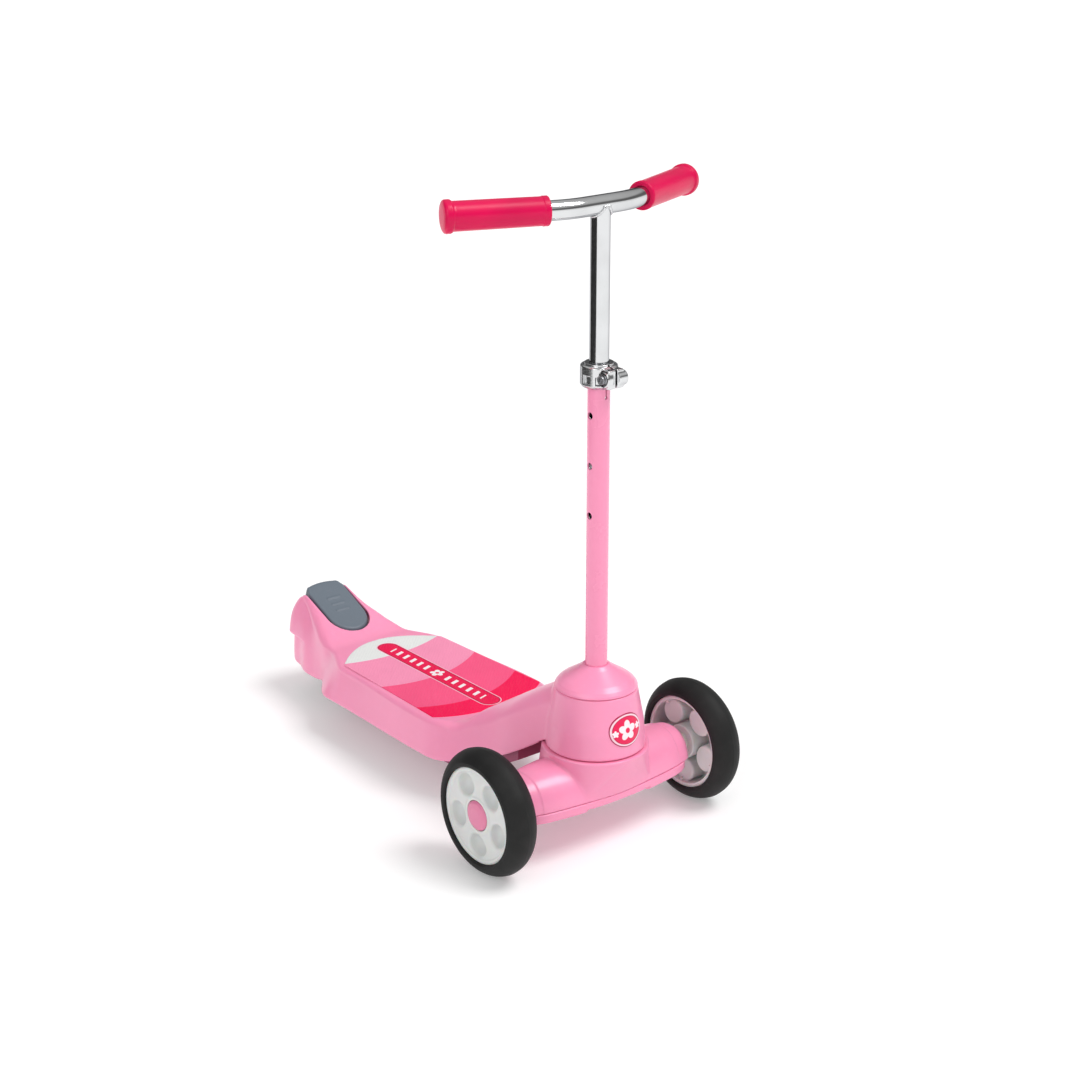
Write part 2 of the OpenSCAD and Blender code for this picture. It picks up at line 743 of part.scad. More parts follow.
// Hub of a front wheel with its outer face towards +Y.
module front_hub() {
    difference() {
        union() {
            turned(front_r) {
                translate([hub_r - 5, -wheel_face]) square([5, 2 * wheel_face]);
                translate([hub_r - 2, -6.8]) square([4.2, 13.6]);
                translate([16, wheel_face - 4.6]) square([hub_r - 20, 3]);
                translate([6.02, -wheel_face]) square([8.98, 2 * wheel_face - 3.4]);
                translate([6.02, wheel_face - 4.6]) square([10.98, 3]);
            }
            for (i = [0 : 4]) {
                spoke_place(i) {
                    across(13, -wheel_face + 5, wheel_face - 1.2, 33, 0);
                    translate([44, -wheel_face + 2, -1.3]) cube([hub_r - 46, 22, 2.6]);
                }
            }
        }
        for (i = [0 : 4]) {
            spoke_place(i) across(11, -wheel_face + 7.6, wheel_face + 2, 33, 0);
        }
        across(15.9, wheel_face - 6.6, wheel_face + 2, 0, front_r);
    }
}

// Turned place of one of the five hub cups around the wheel's axis.
module spoke_place(i) {
    translate([0, 0, front_r]) rotate([0, 72 * i - 127, 0]) children();
}

// Sleeve bearing in a front hub, with a collar at its inner end.
module front_bush() {
    turned(front_r) {
        translate([axle_r + running, -wheel_face - 5.4]) square([1.94 - running, 27.9]);
        translate([axle_r + running, -wheel_face - 5.4]) square([6, 5.3]);
    }
}

// Domed cap over a front wheel's axle end.
module front_cap() {
    turned(front_r) polygon([
        [0, wheel_face + 2.2], [8, wheel_face + 1.9], [13.4, wheel_face + 0.9], [15.5, wheel_face - 0.6],
        [15.5, wheel_face - 6.5], [14, wheel_face - 6.5], [14, wheel_face - 1.6],
        [0, wheel_face + 0.4]]);
}

// Moves a wheel part to one side; the right wheel is the left one seen in a mirror.
module wheel_side(s) {
    from_axle() mirror([0, s < 0 ? 1 : 0, 0]) translate([0, half_track, 0]) children();
}

// Left front tyre.
module tyre_left() {
    color([0.15, 0.15, 0.15]) wheel_side(1) front_tyre();
}

// Left front hub.
module hub_left() {
    color([0.84, 0.84, 0.84]) wheel_side(1) front_hub();
}

// Left front bush.
module bush_left() {
    color([0.9, 0.88, 0.82]) wheel_side(1) front_bush();
}

// Left front hub cap.
module hub_cap_left() {
    color([0.88, 0.5, 0.64]) wheel_side(1) front_cap();
}

// Right front tyre.
module tyre_right() {
    color([0.15, 0.15, 0.15]) wheel_side(-1) front_tyre();
}

// Right front hub.
module hub_right() {
    color([0.84, 0.84, 0.84]) wheel_side(-1) front_hub();
}

// Right front bush.
module bush_right() {
    color([0.9, 0.88, 0.82]) wheel_side(-1) front_bush();
}

// Right front hub cap.
module hub_cap_right() {
    color([0.88, 0.5, 0.64]) wheel_side(-1) front_cap();
}

// Rear tyre.
module rear_tyre() {
    color([0.15, 0.15, 0.15])
    from_axle() translate([-wheelbase, 0, 0]) turned(rear_r) intersection() {
        translate([rear_r - 22, 0]) circle(r = 22);
        translate([28.02, -rear_tyre_w / 2]) square([20, rear_tyre_w]);
    }
}

// Rear hub, running straight on the axle.
module rear_hub() {
    color([0.84, 0.84, 0.84])
    from_axle() translate([-wheelbase, 0, 0]) turned(rear_r) polygon([
        [axle_r + running, -23.6], [9, -23.6], [9, -2], [24, -2], [24, -rear_tyre_w / 2 + 1],
        [28, -rear_tyre_w / 2 + 1], [28, rear_tyre_w / 2 - 1], [24, rear_tyre_w / 2 - 1], [24, 2],
        [9, 2], [9, 23.6], [axle_r + running, 23.6]]);
}

// Grey foot pedal: a plate over the wheel, folded down at the back, with two hinge arms.
module brake_pedal() {
    profile = [[tip_u, tip_z], [tip_u - 2, tip_z + 1.6], [crease_u + 6, crease_z - 1.6],
        [crease_u + 1, crease_z - 0.4], [crease_u - 2.6, crease_z - 2.6],
        [crease_u - 4.6, crease_z - 7.5], [crease_u - 12.2, crease_z - 30],
        [crease_u - 8.3, crease_z - 30.6], [crease_u - 1.2, crease_z - 8.6],
        [crease_u + 1, crease_z - 4.4], [tip_u - 2, tip_z - 2.6]];
    arm = [[-447, 103], [-431, 96], [-425, 84.5], [-418, 82], [-411, 81], [-411, 75], [-418, 73.5],
        [-426, 75], [-433, 84], [-447, 97]];
    color([0.44, 0.48, 0.52])
    from_axle() difference() {
        union() {
            intersection() {
                side_plate(-pedal_half, pedal_half) polygon(profile);
                translate([0, 0, 60]) linear_extrude(90) pedal_plan();
            }
            for (s = [-1, 1]) {
                side_plate(s * 9 - 2, s * 9 + 2) polygon(arm);
                across(5, s * 9 - 2, s * 9 + 2, pin_u, pin_z);
            }
        }
        across(pin_r + running, -40, 40, pin_u, pin_z);
    }
}

// Plan shape of the pedal, rounded in front and narrowed behind the fold.
module pedal_plan() {
    intersection() {
        pedal_outline(pedal_half, tip_u, -rear_reach);
        polygon([[tip_u + 5, -30], [tip_u + 5, 30], [-484, 30], [-486, pedal_half], [-492, 22.5],
            [-500, 20], [-516, 18], [-516, -18], [-500, -20], [-492, -22.5],
            [-486, -pedal_half], [-484, -30]]);
    }
}

// Brake block under the pedal, hollowed to the tyre.
module brake_shoe() {
    color([0.2, 0.2, 0.21])
    from_axle() difference() {
        side_plate(-12, 12) polygon([[-484, 117.46], [-484, 74], [-458, 80], [-458, 106.13]]);
        across(rear_r + 4, -20, 20, -wheelbase, rear_r);
    }
}

deck_shell();
underframe();
deck_mat();
head_badge();
upper_bush();
lower_bush();
rear_axle();
rear_axle_nuts();
brake_pin();
brake_spring();
deck_screws();
axle_housing();
housing_cover();
head_cap();
column_tube();
column_bolt();
front_axle();
axle_washers();
axle_nuts();
housing_screws();
clamp_collar();
clamp_bolt();
stem_tube();
crossbar();
grip_left();
grip_right();
snap_button();
button_spring();
tyre_left();
hub_left();
bush_left();
hub_cap_left();
tyre_right();
hub_right();
bush_right();
hub_cap_right();
rear_tyre();
rear_hub();
brake_pedal();
brake_shoe();
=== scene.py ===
import json
import math

import bpy
import numpy as np
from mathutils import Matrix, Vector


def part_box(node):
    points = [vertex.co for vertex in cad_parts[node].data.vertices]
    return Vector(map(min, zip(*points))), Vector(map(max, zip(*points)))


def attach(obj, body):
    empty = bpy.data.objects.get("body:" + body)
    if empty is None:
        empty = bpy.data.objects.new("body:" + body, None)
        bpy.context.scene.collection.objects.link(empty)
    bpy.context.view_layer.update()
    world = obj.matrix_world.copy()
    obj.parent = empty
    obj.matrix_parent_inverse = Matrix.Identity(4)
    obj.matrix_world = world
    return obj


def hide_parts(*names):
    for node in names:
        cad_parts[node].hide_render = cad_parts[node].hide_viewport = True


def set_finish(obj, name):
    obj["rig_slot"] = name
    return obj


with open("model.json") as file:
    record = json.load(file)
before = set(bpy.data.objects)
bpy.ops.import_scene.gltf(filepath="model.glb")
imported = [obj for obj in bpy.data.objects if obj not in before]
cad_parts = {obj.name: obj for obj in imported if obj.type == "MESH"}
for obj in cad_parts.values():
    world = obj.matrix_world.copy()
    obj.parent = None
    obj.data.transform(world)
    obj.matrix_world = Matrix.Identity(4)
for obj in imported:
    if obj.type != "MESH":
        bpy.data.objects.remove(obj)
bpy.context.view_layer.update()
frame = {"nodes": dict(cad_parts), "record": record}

import openvdb
from mathutils import Vector

NODES = frame["nodes"]


def middle(node):
    """Centre of a CAD node's box, in metres."""
    low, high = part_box(node)
    return (low + high) / 2


# Every shape below is in millimetres: u forward from the front axle, y to the left,
# z up from the floor.
FRONT = middle("front_axle").x
WHEEL_R = middle("front_axle").z * 1000
TRACK = middle("tyre_left").y * 1000
STEM_R = 9.525
BAR_Z = middle("crossbar").z * 1000
AXIS = (middle("column_tube").x - FRONT) * 1000
COLUMN_R = 11.1
HOLES = (347.9, 398.7, 449.5)
COLUMN_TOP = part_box("column_tube")[1].z * 1000
LOW_SEAM, TOP_SEAM = 103.0, 166.5
ARM_R, ARM_Z, ARM_END = 29.5, 62.0, 113.0
BEND_R, BEND_Y, SWEEP = 94.0, 38.7, math.radians(22.5)
DECK_H, DECK_LOW, REACH, FENDER_H, DECK_HALF, WALL = 87.0, 45.0, 515.0, 128.5, 80.0, 3.0
SPLIT_Z, LIP_Z = ARM_Z - 1.6, ARM_Z - 11.3
TUBE_WALL = 1.5
CLAMP_Z, BOLT_X = 489.0, 18.0
HINGE_U, HINGE_Z = -414.0, 78.0
BADGE_Z, BADGE_A, BADGE_B = 133.0, 21.0, 17.0
TO_CAMERA = Vector((0.7304, -0.5924, 0.34))


# ---------------------------------------------------------------- camera, floor and light

def link(name, data):
    """A new object in the scene."""
    obj = bpy.data.objects.new(name, data)
    bpy.context.scene.collection.objects.link(obj)
    return obj


def camera():
    data = bpy.data.cameras.new("camera")
    data.sensor_width = 36
    data.lens = 72.29
    data.clip_start = 0.05
    view = link("camera", data)
    view.location = (FRONT + 1.5233, -1.3057, 1.0448)
    view.rotation_euler = TO_CAMERA.to_track_quat("Z", "Y").to_euler()
    bpy.context.scene.camera = view


def lamp(name, place, spread, strength):
    """A soft far light, shining from place towards the scooter."""
    data = bpy.data.lights.new(name, "SUN")
    data.angle = spread
    data.energy = strength
    obj = link(name, data)
    obj.location = place
    obj.rotation_euler = Vector(place).to_track_quat("Z", "Y").to_euler()


def studio():
    """A plain pale surround, white at the horizon, and two soft suns."""
    scene = bpy.context.scene
    scene.view_settings.view_transform = "Standard"
    world = bpy.data.worlds.new("studio")
    scene.world = world
    world.use_nodes = True
    tree = world.node_tree
    back = tree.nodes["Background"]
    back.inputs["Strength"].default_value = 0.5
    coords = tree.nodes.new("ShaderNodeTexCoord")
    split = tree.nodes.new("ShaderNodeSeparateXYZ")
    ramp = tree.nodes.new("ShaderNodeValToRGB")
    tree.links.new(coords.outputs["Generated"], split.inputs[0])
    tree.links.new(split.outputs["Z"], ramp.inputs[0])
    tree.links.new(ramp.outputs[0], back.inputs["Color"])
    bands = (
        (0.0, 2.0), (0.1, 2.0), (0.16, 0.9), (0.22, 0.3), (0.42, 0.28), (0.55, 1.0), (1.0, 1.15),
    )
    while len(ramp.color_ramp.elements) < len(bands):
        ramp.color_ramp.elements.new(0.5)
    for place, (height, level) in zip(ramp.color_ramp.elements, bands):
        place.position = height
        place.color = (level, level * 0.995, level * 0.99, 1)
    lamp("key", (1.2, 1.0, 2.6), 0.5, 1.75)
    lamp("side", (0.5, -1.9, 1.3), 0.7, 0.75)


# ---------------------------------------------------------------- mesh helpers

def make(name, verts, faces, body, slot, replaces=None, sharp=None):
    """A mesh object from millimetre points, riding on a body."""
    verts = np.asarray(verts, float)
    place = np.empty_like(verts)
    place[:, 0] = verts[:, 0] / 1000 + FRONT
    place[:, 1:] = verts[:, 1:] / 1000
    mesh = bpy.data.meshes.new(name)
    mesh.from_pydata(place.tolist(), [], [list(f) for f in faces])
    mesh.validate()
    mesh.shade_smooth()
    if sharp:
        mesh.set_sharp_from_angle(angle=math.radians(sharp))
    obj = link(name, mesh)
    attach(obj, body)
    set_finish(obj, slot)
    if replaces:
        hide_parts(replaces)
    return obj


def paint(obj, material):
    obj.data.materials.clear()
    obj.data.materials.append(material)


def rounded(corners, steps=5):
    """A closed outline whose corners (x, y, radius) are turned into arcs."""
    out = []
    n = len(corners)
    for i, (x, y, r) in enumerate(corners):
        here = np.array((x, y), float)
        before = np.array(corners[i - 1][:2], float) - here
        after = np.array(corners[(i + 1) % n][:2], float) - here
        la, lb = np.hypot(*before), np.hypot(*after)
        before, after = before / la, after / lb
        angle = math.acos(max(-1, min(1, float(before @ after))))
        if r <= 0 or angle > math.radians(176):
            out.append((x, y))
            continue
        cut = min(r / math.tan(angle / 2), la * 0.45, lb * 0.45)
        r = cut * math.tan(angle / 2)
        centre = here + (before + after) / np.hypot(*(before + after)) * r / math.sin(angle / 2)
        a0 = here + before * cut - centre
        a1 = here + after * cut - centre
        t0, t1 = math.atan2(a0[1], a0[0]), math.atan2(a1[1], a1[0])
        d = (t1 - t0 + math.pi) % (2 * math.pi) - math.pi
        for k in range(steps + 1):
            t = t0 + d * k / steps
            out.append((centre[0] + r * math.cos(t), centre[1] + r * math.sin(t)))
    return out


def lathe(profile, count, frame_of, closed=True):
    """Turns an outline of (radius, height) about an axis.

    frame_of(radius, angle, height) gives each point.
    """
    verts, rings = [], []
    for r, h in profile:
        if r < 1e-6:
            rings.append([len(verts)])
            verts.append(frame_of(0, 0, h))
        else:
            rings.append(list(range(len(verts), len(verts) + count)))
            verts += [frame_of(r, 2 * math.pi * k / count, h) for k in range(count)]
    faces = []
    pairs = list(zip(rings, rings[1:]))
    if closed:
        pairs.append((rings[-1], rings[0]))
    for a, b in pairs:
        for k in range(count):
            q = (k + 1) % count
            if len(a) == 1 and len(b) == 1:
                continue
            if len(a) == 1:
                faces.append((a[0], b[q], b[k]))
            elif len(b) == 1:
                faces.append((a[k], a[q], b[0]))
            else:
                faces.append((a[k], a[q], b[q], b[k]))
    return verts, faces


def upright(r, a, h):
    """Points of a part turned about the steering column."""
    return (AXIS + r * math.cos(a), r * math.sin(a), h)


def wheel_point(side):
    """Points of a part turned about a front wheel's axis, its height outward along Y."""
    def point(r, a, h):
        return (r * math.cos(a), side * (TRACK + h), WHEEL_R + side * r * math.sin(a))
    return point


def sweep(path, radius, count, wall):
    """A tube along a path of points lying close to one plane."""
    path = [Vector(p) for p in path]
    n = len(path)
    verts, faces = [], []
    up = Vector((0, 0, 1))
    levels = (0.0, wall)
    for level in levels:
        for i, p in enumerate(path):
            t = (path[min(i + 1, n - 1)] - path[max(i - 1, 0)]).normalized()
            side = t.cross(up).normalized()
            top = side.cross(t)
            r = radius - level
            for k in range(count):
                a = 2 * math.pi * k / count
                verts.append(p + side * r * math.cos(a) + top * r * math.sin(a))

    def index(layer, i, k):
        return (layer * n + i) * count + k % count

    for layer in range(len(levels)):
        for i in range(n - 1):
            for k in range(count):
                near, far = index(layer, i, k), index(layer, i, k + 1)
                f = (near, far, index(layer, i + 1, k + 1), index(layer, i + 1, k))
                faces.append(f if layer == 0 else f[::-1])
    for i in (0, n - 1):
        for k in range(count):
            f = (index(0, i, k), index(1, i, k), index(1, i, k + 1), index(0, i, k + 1))
            faces.append(f if i == 0 else f[::-1])
    return verts, faces


def smin(a, b, k):
    """The smaller of two fields, blended over a width k."""
    h = np.maximum(k - np.abs(a - b), 0) / k
    return np.minimum(a, b) - h * h * k / 4


def smax(a, b, k):
    return -smin(-a, -b, k)


def skin(field, low, high, step):
    """Closed quads round the space where field(u, y, z) is positive.

    The grid's points are then moved onto the surface itself.
    """
    low = np.array(low, float)
    count = np.ceil((np.array(high, float) - low) / step).astype(int) + 1
    u, y, z = (low[i] + step * np.arange(count[i]) for i in range(3))
    value = field(u[:, None, None], y[None, :, None], z[None, None, :])
    value = np.ascontiguousarray(np.broadcast_to(value, count), dtype=np.float32)
    value[[0, -1]] = -step
    value[:, [0, -1]] = -step
    value[:, :, [0, -1]] = -step
    grid = openvdb.FloatGrid(10.0)
    grid.copyFromArray(-np.clip(value, -4 * step, 4 * step))
    points, quads = grid.convertToQuads(0.0)
    points = np.array(points, float) * step + low
    eps = step * 0.15

    def at(p):
        return field(p[:, 0], p[:, 1], p[:, 2]) * np.ones(len(p))

    for _ in range(3):
        here = at(points)
        slope = np.empty_like(points)
        for i in range(3):
            ahead, behind = points.copy(), points.copy()
            ahead[:, i] += eps
            behind[:, i] -= eps
            slope[:, i] = (at(ahead) - at(behind)) / (2 * eps)
        size = np.maximum((slope ** 2).sum(1), 0.15)
        move = -slope * (here / size)[:, None]
        length = np.maximum(np.sqrt((move ** 2).sum(1)), 1e-9)
        points += move * np.minimum(1, 0.5 * step / length)[:, None]
    quads = np.array(quads, int)
    a, b, c = points[quads[:, 0]], points[quads[:, 1]], points[quads[:, 2]]
    if np.einsum("ij,ij->i", np.cross(b - a, c - a), (a + b + c) / 3 - points.mean(0)).sum() < 0:
        quads = quads[:, ::-1]
    return points, quads


def outline_distance(polygon, x, y):
    """Distance inside a polygon, negative outside."""
    x, y = np.broadcast_arrays(np.asarray(x, float), np.asarray(y, float))
    best = np.full(x.shape, 1e9)
    inside = np.zeros(x.shape, bool)
    for i, (ax, ay) in enumerate(polygon):
        bx, by = polygon[i - 1]
        ex, ey = bx - ax, by - ay
        t = np.clip(((x - ax) * ex + (y - ay) * ey) / (ex * ex + ey * ey), 0, 1)
        best = np.minimum(best, np.hypot(x - ax - t * ex, y - ay - t * ey))
        if ay != by:
            cross = (ay > y) != (by > y)
            inside ^= cross & (x < ex * (y - ay) / ey + ax)
    return np.where(inside, best, -best)


# ---------------------------------------------------------------- the deck moulding

def rise(a, b, u):
    """A smooth step from 0 at a to 1 at b."""
    t = np.clip((u - a) / (b - a), 0, 1)
    return t * t * (3 - 2 * t)


def ramp(x, k):
    """Straight rise above 0, eased in over a width k to each side."""
    return np.where(x > k, x, np.maximum(x + k, 0) ** 2 / (4 * k))


def crest(u):
    """Height of the moulding's top: deck, rear fender and neck."""
    t = np.clip((u + 153) / 128, 0, 1)
    neck = (TOP_SEAM - 0.5 - DECK_H) * (1 - (1 - t) ** 1.16) * (0.3 + 0.7 * rise(-153, -125, u))
    return DECK_H + (FENDER_H - DECK_H) / 94 * ramp(-406 - u, 14) + neck


def skirt(u):
    """Height of the moulding's lower edge."""
    neck = 56 * (np.maximum(0, u + 165) / 130) ** 1.64
    return DECK_LOW + neck - 8 * rise(-400, -440, u)


def top_half(u):
    """Half the width at the top of the section."""
    fender = 29.5 + 21.5 * rise(-496, -410, u)
    deck = (DECK_HALF - 59) * rise(-412, -350, u) + 8 * rise(-350, -200, u)
    neck = 29 * rise(-190, -84, u) + 12 * rise(-90, -16, u)
    return fender + deck - neck


def low_half(u):
    """Half the width at the section's lower edge."""
    fender = 44 + 7 * rise(-500, -450, u)
    deck = (DECK_HALF - 49) * rise(-432, -370, u) + 3 * rise(-350, -200, u)
    neck = 30 * rise(-180, -80, u) + 12 * rise(-85, -16, u)
    return fender + deck - neck


def body_field(u, y, z, gap):
    """Inside the deck's section, drawn in by gap; its underside is left open."""
    low, top = skirt(u), crest(u) - gap
    saddle = rise(-405, -432, u) * (1 - rise(-448, -488, u))
    rw = 8 + 30 * rise(-170, -95, u) - 8 * rise(-80, -20, u) + 9 * saddle
    rw = np.minimum(rw, 0.9 * top_half(u))
    rh = 7 + 17 * rise(-165, -100, u) + 3 * rise(-420, -470, u) + 8 * saddle
    rh = np.minimum(rh, (top - low) * 0.6)
    t = np.clip((z - low) / np.maximum(top - rh - low, 1), 0, 1) ** (1 + 1.4 * rise(-440, -480, u))
    half = (low_half(u) + (top_half(u) - low_half(u)) * t) - gap
    step_in = 3.2 * rise(-462, -486, u) * (1 - rise(69, 73, z))
    side = (half - step_in - np.abs(y)) / rw
    over = (top - z) / rh
    corner = 1 - np.sqrt(np.maximum(1 - side, 0) ** 2 + np.maximum(1 - over, 0) ** 2)
    corner = np.where((side > 1) & (over > 1), np.minimum(side, over), corner)
    return corner * np.minimum(rw, rh)


RING = np.array([
    (99, 51.6), (104, 51), (113.4, 49.9), (130, 48.7),
    (144.3, 45.9), (158.6, 43.2), (166, 42), (172, 41),
])


def ring_radius(z):
    """Outside radius of the fixed ring of the head at a height."""
    return np.interp(z, RING[:, 0], RING[:, 1])


def deck_field(u, y, z):
    """The deck, neck, ring and fender with their hollows and the pedal's slot."""
    r = np.hypot(u - AXIS, y)
    ring = smin(ring_radius(z) - r, smin(z - LOW_SEAM - 1, TOP_SEAM - 0.5 - z, 1), 1.6)
    neck = smin(smin(body_field(u, y, z, 0), z - skirt(u), 2), -22 - u, 1)
    back = u + REACH - 0.3 - 6 * (1 - rise(69, 73, z)) - 0.0115 * np.maximum(z - 86, 0) ** 2
    neck = smin(neck, back, 18)
    outer = smax(ring, neck, 3)
    floors = np.minimum(z - LOW_SEAM - 8, TOP_SEAM - 7 - z)
    hollow_neck = smin(smin(body_field(u, y, z, WALL), u + 502, 12), -24 - u, 2)
    hollow_ring = np.minimum(ring_radius(z) - 3.6 - r, floors)
    hollow = smax(np.minimum(hollow_neck, np.maximum(r - 44, floors)), hollow_ring, 1)
    solid = smin(outer, -hollow, 0.8)
    slot = 26.5 - np.hypot(y, np.maximum(u + 445, 0))
    slot = smin(slot, np.maximum(u + 499, z - 90), 1)
    solid = smin(solid, -slot, 1.8)
    solid = smin(solid, -smin(57 - r, LOW_SEAM + 0.5 - z, 1), 1)
    return np.minimum(solid, r - 14.1)


def deck_moulding():
    points, quads = skin(deck_field, (-518, -88, 30), (57, 88, 170), 1.35)
    return make("deck_moulding", points, quads, "deck", "body_pink", "deck_shell")


# ---------------------------------------------------------------- the steered housing

def drum_field(u, y, z, gap):
    """Inside the housing's cone below the ring, drawn in by gap."""
    t = np.clip((LOW_SEAM - z) / 45, 0, 1)
    y_in = 44 * t
    x_in = np.sqrt(np.maximum((194.3 * t) ** 2 - np.minimum(np.abs(y), y_in) ** 2, 0)) - 152 * t
    dx, dy = np.abs(u) - x_in, np.abs(y) - y_in
    outside = np.hypot(np.maximum(dx, 0), np.maximum(dy, 0)) + np.minimum(np.maximum(dx, dy), 0)
    return np.minimum(54.6 * (1 - t) - outside - gap, z - 57)


def arm_half(y):
    """Half the depth of the arms at a place across."""
    return 42.2 - 0.00112 * y * y


def arm_field(u, y, z, gap):
    """Inside the body through both arms, drawn in by gap: upright at its foot, an arch above."""
    across = np.abs(y)
    top = ARM_Z + ARM_R + 4.5 - 5.5 * (np.maximum(across - 50, 0) / 63) ** 2
    inset = gap + 0.6 * rise(90.4, 91.4, across)
    w, h = arm_half(y) - inset, top - inset - 50
    reach = ((np.abs(u) / w) ** 2.3 + (np.maximum(z - 50, 0) / h) ** 2.3) ** (1 / 2.3)
    return smin((1 - reach) * np.minimum(w, h), ARM_END - 1.7 * gap - across, 1 if gap else 13)


def housing_field(u, y, z):
    """The steered upper shell with the column's socket and the axle's bore."""
    uc = u - AXIS * np.clip((z - 75) / 28, 0, 1)
    outer = smax(drum_field(uc, y, z, 0), arm_field(u, y, z, 0), 2.5)
    outer = smin(outer, LOW_SEAM - z, 1.5)
    outer = smin(outer, z - SPLIT_Z - 0.15, 0.8)
    inner = smax(drum_field(uc, y, z, WALL), arm_field(u, y, z, WALL), 3)
    inner = np.minimum(inner, LOW_SEAM - 4 - z)
    solid = np.minimum(outer, -inner)
    r = np.hypot(u - AXIS, y)
    socket = np.minimum(15 - r, np.minimum(z - 71, LOW_SEAM - z))
    solid = smax(solid, socket, 1.5)
    solid = np.minimum(solid, np.maximum(r - COLUMN_R - 0.1, 74 - z))
    return np.minimum(solid, np.hypot(u, z - WHEEL_R) - 4.1)


def axle_housing():
    points, quads = skin(housing_field, (-58, -117, 56), (61, 117, 106), 1.1)
    return make("steering_housing", points, quads, "steering", "body_pink", "axle_housing")


def cover_field(u, y, z):
    """The lower shell: a shallow tray with screw bosses and two notches in its lip."""
    floor_z = LIP_Z + 0.7 - 1.8 * rise(37, 41, np.abs(y))
    plan = smin(arm_half(y) + 0.4 - np.abs(u), ARM_END - 1 - np.abs(y), 26)
    outer = smin(smin(plan, SPLIT_Z - 0.15 - z, 0.8), z - floor_z, 4)
    inner = np.minimum(plan - WALL, z - LIP_Z - WALL)
    screw = np.hypot(np.abs(u) - 20, np.abs(y) - 76)
    boss = np.minimum(5 - screw, np.minimum(SPLIT_Z - 0.15 - z, z - LIP_Z))
    solid = np.maximum(np.minimum(outer, -inner), boss)
    solid = np.minimum(solid, screw - 1.7)
    solid = np.minimum(solid, np.maximum(screw - 3.6, z - LIP_Z - 2.6))
    notch = 2.6 - np.hypot(u - arm_half(38.5), (np.abs(y) - 38.5) * 0.62)
    return smin(solid, -np.minimum(notch, LIP_Z + 3 - z), 0.6)


def housing_cover():
    points, quads = skin(cover_field, (-46, -117, 46), (46, 117, 64), 0.9)
    return make("lower_cover", points, quads, "steering", "body_pink", "housing_cover")


def head_cap():
    profile = rounded([
        (42.3, TOP_SEAM + 0.3, 0.5), (41.2, 169.2, 2), (38.8, 172.2, 6), (34, 176, 8),
        (25.5, 181.2, 12), (17, 186.7, 12), (13.2, 189.8, 0.8), (COLUMN_R + 0.1, 189.8, 0.3),
        (COLUMN_R + 0.1, 181, 0.5), (20, 181, 3), (29, 175.4, 3), (34.6, 171.4, 3),
        (38.2, TOP_SEAM + 0.3, 0.5)], 6)
    verts, faces = lathe(profile, 160, upright)
    return make("domed_cap", verts, faces, "steering", "body_pink", "head_cap", 40)


# ---------------------------------------------------------------- tubes and handlebar

def drilled(obj, cutters):
    """Cuts other closed meshes out of a piece and removes them."""
    for cutter in cutters:
        mod = obj.modifiers.new("cut", "BOOLEAN")
        mod.operation = "DIFFERENCE"
        mod.solver = "EXACT"
        mod.object = cutter
    deps = bpy.context.evaluated_depsgraph_get()
    mesh = bpy.data.meshes.new_from_object(obj.evaluated_get(deps))
    obj.modifiers.clear()
    old = obj.data
    obj.data = mesh
    bpy.data.meshes.remove(old)
    for cutter in cutters:
        bpy.data.objects.remove(cutter)
    obj.data.shade_smooth()
    obj.data.set_sharp_from_angle(angle=math.radians(32))


def plug(verts, faces):
    """A closed mesh that only cuts."""
    mesh = bpy.data.meshes.new("cutter")
    mesh.from_pydata([(v[0] / 1000 + FRONT, v[1] / 1000, v[2] / 1000) for v in verts], [], faces)
    return link("cutter", mesh)


def rod_cutter(r, y0, y1, z):
    """A bar across the column with a small chamfer where it leaves the wall."""
    def point(radius, a, h):
        return (AXIS + radius * math.cos(a), h, z - radius * math.sin(a))
    profile = [(0, y0), (r + 1.4, y0), (r, y0 + 1.5), (r, y1), (0, y1)]
    return plug(*lathe(profile, 48, point, closed=False))


def tube_rows(r, levels, top=None):
    """An upright tube with a ring of points at each level; top(x) may shape its upper end."""
    verts, faces = [], []
    count = 128
    rows = len(levels)
    for radius in (r, r - TUBE_WALL):
        for i, z in enumerate(levels):
            for k in range(count):
                a = 2 * math.pi * k / count
                x, y = radius * math.cos(a), radius * math.sin(a)
                h = z if top is None or i < rows - 1 else top(x)
                verts.append((AXIS + x, y, h))

    def index(layer, i, k):
        return (layer * rows + i) * count + k % count

    for i in range(rows - 1):
        j = i + 1
        for k in range(count):
            q = k + 1
            faces.append((index(0, i, k), index(0, i, q), index(0, j, q), index(0, j, k)))
            faces.append((index(1, i, k), index(1, j, k), index(1, j, q), index(1, i, q)))
    m = rows - 1
    for k in range(count):
        q = k + 1
        faces.append((index(0, 0, k), index(1, 0, k), index(1, 0, q), index(0, 0, q)))
        faces.append((index(0, m, k), index(0, m, q), index(1, m, q), index(1, m, k)))
    return verts, faces


